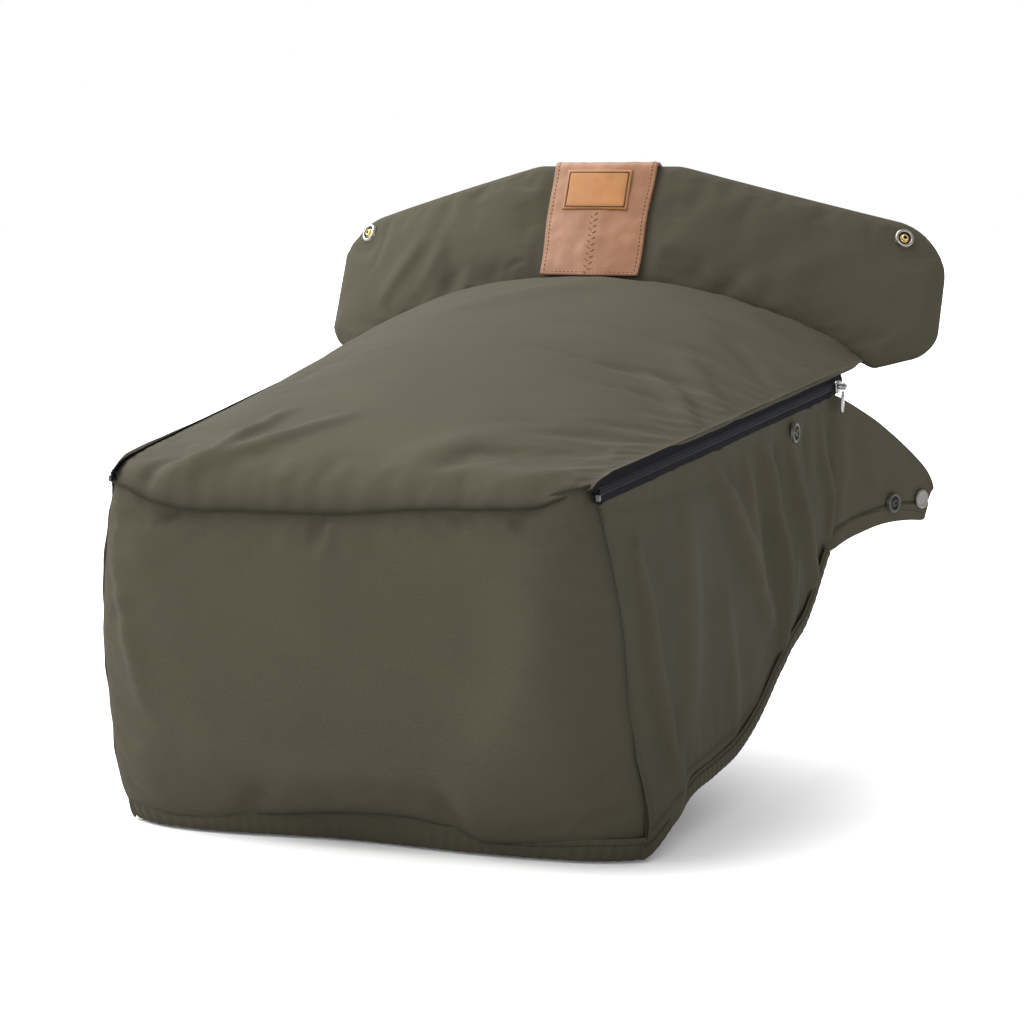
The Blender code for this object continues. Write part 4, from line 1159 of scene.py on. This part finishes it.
def build_strap():
    front, run = strap_grid(0.0016)
    back, _ = strap_grid(0.0)
    rim = rim_gap(*front.shape[:2], 0.083, 0.16)
    wave = 0.0007 * field(front, 0.020, 31) + 0.0005 * field(front, 0.009, 32)
    groove = 0.0003 * band_at(rim, 0, 0.0012) - 0.0005 * band_at(rim, 0.0036, 0.0009)
    out = normals(front, TOWARDS_TOE)
    front = front + out * (np.maximum(wave, -0.0006) * smooth(rim / 0.004) + groove)[..., None]
    shade = 0.55 * band_at(rim, 0, 0.0009)
    strap = form("leather_strap_fine", front, back, LEATHER, LEATHER_BACK, shade)
    rides(strap, "collar", "leather", "leather_strap")
    pieces = []
    for name, column in (("left", 1.45), ("right", 31.55)):
        k = int(column)
        line = lerp(front[k], front[k + 1], column - k)
        ups = lerp(out[k], out[k + 1], column - k)
        pieces.append(stitches(f"strap_stitches_{name}", line[1:], ups[1:], THREAD_TAN, *STRAP_STITCH))
    pieces.append(stitches("strap_stitches_bottom", front[1:-1, 1], out[1:-1, 1], THREAD_TAN, *STRAP_STITCH))
    parts = []
    for k, height in enumerate(np.arange(0.005, 0.056, 0.0026)):
        j = np.interp(height, [r[0] for r in run[:30]], np.arange(30))
        x_share = 0.49 + (0.022 if k % 2 else -0.022)
        i = x_share * (front.shape[0] - 1)
        centre = front[int(i), int(j)] * (1 - i % 1) + front[int(i) + 1, int(j)] * (i % 1)
        centre = centre + COLLAR_UP * (height - run[int(j)][0])
        lean = np.array([1.0 if k % 2 else -1.0, 0, 0]) * 0.8 + COLLAR_UP * 0.6
        parts.append(bead(centre - COLLAR_BACK * 0.0002, lean, -COLLAR_BACK, 0.0036, 0.0007, 0.0006))
    pieces.append(joined("strap_zigzag", parts, THREAD_FAINT))
    for piece in pieces:
        rides(piece, "collar", "leather")

    columns, rows = 60, 40
    u, v = net(columns, rows)
    x = lerp(LABEL_LEFT, LABEL_RIGHT, u)
    height = lerp(LABEL_LOW, LABEL_HIGH, v) + 0.0006 * np.sin(u * 3)
    base = points(x, CREASE_Y + wrap(x), 0 * x + CREASE_Z) + COLLAR_UP * height[..., None]
    rim = rim_gap(columns, rows, LABEL_WIDTH, LABEL_HEIGHT)
    line = band_at(rim, LABEL_LINE_IN, 0.00065)
    lift = STRAP_FACE + 0.0024 + 0.0007 * (1 - fading(rim, 0.0010)) - 0.0004 * line
    lift += 0.0002 * field(base, 0.012, 33)
    front = base - COLLAR_BACK * lift[..., None]
    back = base - COLLAR_BACK * (STRAP_FACE + 0.0015)
    shade = 0.4 * fading(rim, 0.0006)
    label = form("leather_label_fine", front, back, LABEL, LEATHER_BACK, shade, smoothing=0)
    rides(label, "collar", "label", "leather_label")
    near, far, high = LABEL_LINE_IN, LABEL_WIDTH - LABEL_LINE_IN, LABEL_HEIGHT - LABEL_LINE_IN
    corners = [(near, near), (far, near), (far, high), (near, high), (near, near)]
    frames = []
    for k, ((a, b), (c, d)) in enumerate(zip(corners, corners[1:])):
        t = np.linspace(0, 1, 24)
        run_x, run_h = LABEL_LEFT + lerp(a, c, t), LABEL_LOW + lerp(b, d, t)
        bar = points(run_x, CREASE_Y + wrap(run_x), 0 * t + CREASE_Z) + COLLAR_UP * run_h[:, None]
        bar = bar - COLLAR_BACK * (STRAP_FACE + 0.0029)
        frames.append(tube(f"label_line_{k}", bar, 0.0006, BURNT, 8, 0.5, -COLLAR_BACK))
    for piece in frames:
        rides(piece, "collar", "label")


# Press snaps ----------


def snap_ring(name, place, outward, ring, stud):
    """A ring snap: domed nickel rim, a well made near-black as painted shade, and a stud."""
    rim = [(0, 0), (7.5, 0), (7.5, 0.9), (7.2, 1.6), (6.6, 2.0), (6.0, 2.05), (5.4, 1.85), (5.0, 1.4),
           (4.8, 0.9), (4.2, 0.7), (3.4, 0.7), (2.9, 0.85), (2.75, 1.3), (2.6, 2.1), (2.2, 2.5), (1.6, 2.6),
           (1.5, 2.2), (0, 2.1)]
    # Band looks: rim, near-black well as painted shade, stud, then a near-black hollow on the stud's top as
    # painted shade.
    looks = [0] * 7 + [1] * 3 + [2] * 5 + [1] * 2
    vertices, faces, index = turned([(r * MM, h * MM) for r, h in rim], 48, looks)
    obj = new_object(name, vertices, faces, [ring, WELL_SHADE_METAL, stud], face_looks=index)
    return stand(obj, place, outward)


def snap_cap(name, place, outward):
    """The plain side of a press snap: a low disc with a rolled edge."""
    cap = [(0, 0), (7.4, 0), (7.5, 0.5), (7.2, 1.1), (6.6, 1.45), (5.8, 1.5), (5.2, 1.3), (4.6, 1.2),
           (2.0, 1.3), (0, 1.35)]
    vertices, faces, index = turned([(r * MM, h * MM) for r, h in cap], 48, [0] * 9)
    obj = new_object(name, vertices, faces, [CAP_METAL], face_looks=index)
    return stand(obj, place, outward)


def build_snaps():
    for side, sign in SIDES:
        x, z = COLLAR_SNAP
        slope = WRAP * WRAP_POWER * x ** (WRAP_POWER - 1)
        outward = Vector((sign * slope, -1, LEAN)).normalized()
        face = Vector(collar_place(np.array(sign * x), np.array(z)))
        front = snap_ring(f"collar_snap_ring_{side}", face + outward * 0.0034, outward, NICKEL, BRASS)
        rides(front, "collar", "snap_metal", f"collar_snap_{side}")
        behind = face + Vector(COLLAR_BACK) * (COLLAR_THICK + 0.0012) - outward * 0.0010
        back = snap_cap(f"collar_snap_rear_{side}", behind, -outward)
        rides(back, "collar", "snap_metal", f"collar_snap_back_{side}")

        y, z = SIDE_SNAP
        outward = Vector((sign, -SIDE_SPREAD, 0)).normalized()
        face = Vector((sign * half_width(y), y, z))
        front = snap_ring(f"side_snap_ring_{side}", face + outward * 0.0026, outward, GUNMETAL, GUNMETAL)
        rides(front, "foot_box", "snap_metal", f"side_snap_{side}")
        back = snap_cap(f"side_snap_rear_{side}", face - outward * 0.0026, -outward)
        rides(back, "foot_box", "snap_metal", f"side_snap_back_{side}")


# Side flaps ----------

FLAP_FOLDS = [
    (2.0, 7, 1.5, [(10, 250), (12, 220), (8, 180)]),
    (1.6, 12, 1.2, [(34, 236), (46, 212), (52, 190)]),
    (1.2, 10, 1.2, [(70, 226), (84, 208), (92, 196)]),
]
# Upper and lower edges of a flap, as (reach from its hinge, z)
FLAP_TOP = [(-0.006, 0.275), (0.0, 0.273), (0.031, 0.2605), (0.069, 0.2410), (0.101, 0.2205),
            (0.120, 0.2050), (0.127, 0.197)]
FLAP_LOW = [(-0.006, 0.1535), (0.0, 0.157), (0.040, 0.1685), (0.084, 0.1722), (0.114, 0.1690),
            (0.127, 0.1650)]
FLAP_RING_REACH, FLAP_CAP_REACH, FLAP_SNAP_Z = 0.072, 0.108, 0.187
FLAP_LENGTH = 0.118


def build_flap(side, sign):
    reach = np.array([sign * sin(FLAP_AZIMUTH), cos(FLAP_AZIMUTH), 0])
    outward = np.array([sign * cos(FLAP_AZIMUTH), -sin(FLAP_AZIMUTH), 0])
    hinge = np.array([sign * FLAP_HINGE.x, FLAP_HINGE.y, 0])
    columns, rows = 70, 64
    u, v = net(columns, rows)
    s = lerp(lerp(-0.006, FLAP_LOW_REACH, u), lerp(-0.006, FLAP_TOP_REACH, u), v)
    high, low = spline(s, FLAP_TOP), spline(s, FLAP_LOW)
    tip = np.clip((u - 0.93) / 0.07, 0, 1)
    high = high - 0.006 * (1 - np.sqrt(np.maximum(0, 1 - tip**2)))
    low = low + 0.003 * (1 - np.sqrt(np.maximum(0, 1 - tip**2)))
    z = lerp(low, high, v)
    base = hinge + reach * s[..., None] + np.stack([0 * s, 0 * s, z], -1)
    to_low = v * (high - low)
    to_top = (1 - v) * (high - low)
    to_root, to_tip = u * FLAP_LENGTH, (1 - u) * FLAP_LENGTH
    lift = ridges(s, z, FLAP_FOLDS) * smooth(to_low / 0.016) * smooth(to_top / 0.01)
    lift += 0.0012 * field(base, 0.04, 41 + sign) * smooth(to_root / 0.02)
    lift -= 0.0026 * (1 - smooth((to_root - 0.002) / 0.008))
    lift += 0.0011 * (1 - smooth((to_low - 0.0125) / 0.0012))
    lift -= 0.0009 * band_at(to_low, 0.0138, 0.0011)
    lift += 0.0006 * (band_at(to_top, 0, 0.0035) + band_at(to_tip, 0, 0.0035))
    front = base + outward * (lift + 0.0009)[..., None]
    back = base - outward * (0.0011 - lift * 0.7)[..., None]
    # Painted shade: darker along the stitched groove and at the root.
    shade = 0.75 * band_at(to_low, 0.0138, 0.0010) + 0.4 * fading(to_root, 0.0015)
    obj = form(f"flap_cloth_{side}", front, back, CANVAS, LINING, shade)
    wears(obj, "canvas", f"flap_panel_{side}", f"flap_lining_{side}")
    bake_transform(obj)
    row = int(0.0150 / 0.105 * rows)
    line = front[3:-2, row]
    sewn = stitches(f"flap_stitches_{side}", line, outward, THREAD)
    rides(sewn, f"flap_{side}", "canvas")
    on_face = hinge + [0, 0, FLAP_SNAP_Z] + outward * 0.0026
    place = Vector(on_face + reach * FLAP_RING_REACH)
    ring = snap_ring(f"flap_snap_ring_{side}", place, Vector(outward), GUNMETAL, GUNMETAL)
    rides(ring, f"flap_{side}", "snap_metal", f"flap_snap_{side}")
    cap = snap_cap(f"flap_snap_disc_{side}", Vector(on_face + reach * FLAP_CAP_REACH), Vector(outward))
    rides(cap, f"flap_{side}", "snap_metal", f"flap_snap_cap_{side}")


# Studio ----------


CAMERA_PLACE, CAMERA_AIM = (0.7548, -2.0514, 0.4492), (0, -0.0325, 0.20746)
LENS_MM, CAMERA_SHIFT = 107.33, (0.01953, -0.0166)
FLOOR_REACH, FLOOR_Z = 14.0, -0.0006
# Each sun's name, where it stands, its width in degrees and its strength
SUNS = [
    ("key_top", (-0.78, 0.05, 1.0), 70, 7.1),
    ("fill_left", (-1.2, -1.2, 0.5), 30, 0.6),
    ("fill_right", (0.35, -1.2, 0.3), 20, 0.55),
]


def build_studio():
    look = Look("studio_floor_paper", 0.9, specular=0.1)
    look.colour((0.80, 0.80, 0.80), [(look.noise(3, 3, 2), 0.995, 1.0)])
    corners = [(i * FLOOR_REACH, j * FLOOR_REACH, 0) for i, j in ((-1, -1), (1, -1), (1, 1), (-1, 1))]
    floor = new_object("studio_floor", corners, [(0, 1, 2, 3)], [look.material])
    floor.location.z = FLOOR_Z
    world = bpy.data.worlds.new("studio")
    world.use_nodes = True
    world.node_tree.nodes["Background"].inputs["Color"].default_value = (1.0, 1.0, 1.0, 1)
    world.node_tree.nodes["Background"].inputs["Strength"].default_value = 1.0
    scene.world = world
    for name, place, spread_angle, strength in SUNS:
        data = bpy.data.lights.new(name, "SUN")
        data.angle, data.energy = radians(spread_angle), strength
        lamp = bpy.data.objects.new(name, data)
        lamp.rotation_euler = (-Vector(place)).to_track_quat("-Z", "Y").to_euler()
        scene.collection.objects.link(lamp)
    data = bpy.data.cameras.new("camera")
    data.lens, data.sensor_width = LENS_MM, 36.0
    data.shift_x, data.shift_y = CAMERA_SHIFT
    data.clip_start, data.clip_end = 0.1, 60
    camera = bpy.data.objects.new("camera", data)
    camera.location = CAMERA_PLACE
    camera.rotation_euler = (Vector(CAMERA_AIM) - camera.location).to_track_quat("-Z", "Y").to_euler()
    scene.collection.objects.link(camera)
    scene.camera = camera
    scene.view_settings.view_transform = "Standard"


build_toe()
build_toe_hem()
for side, sign in SIDES:
    build_side(side, sign)
build_cover()
for side, sign in SIDES:
    build_zip(side, sign)
build_collar()
build_strap()
build_snaps()
for side, sign in SIDES:
    build_flap(side, sign)
build_studio()
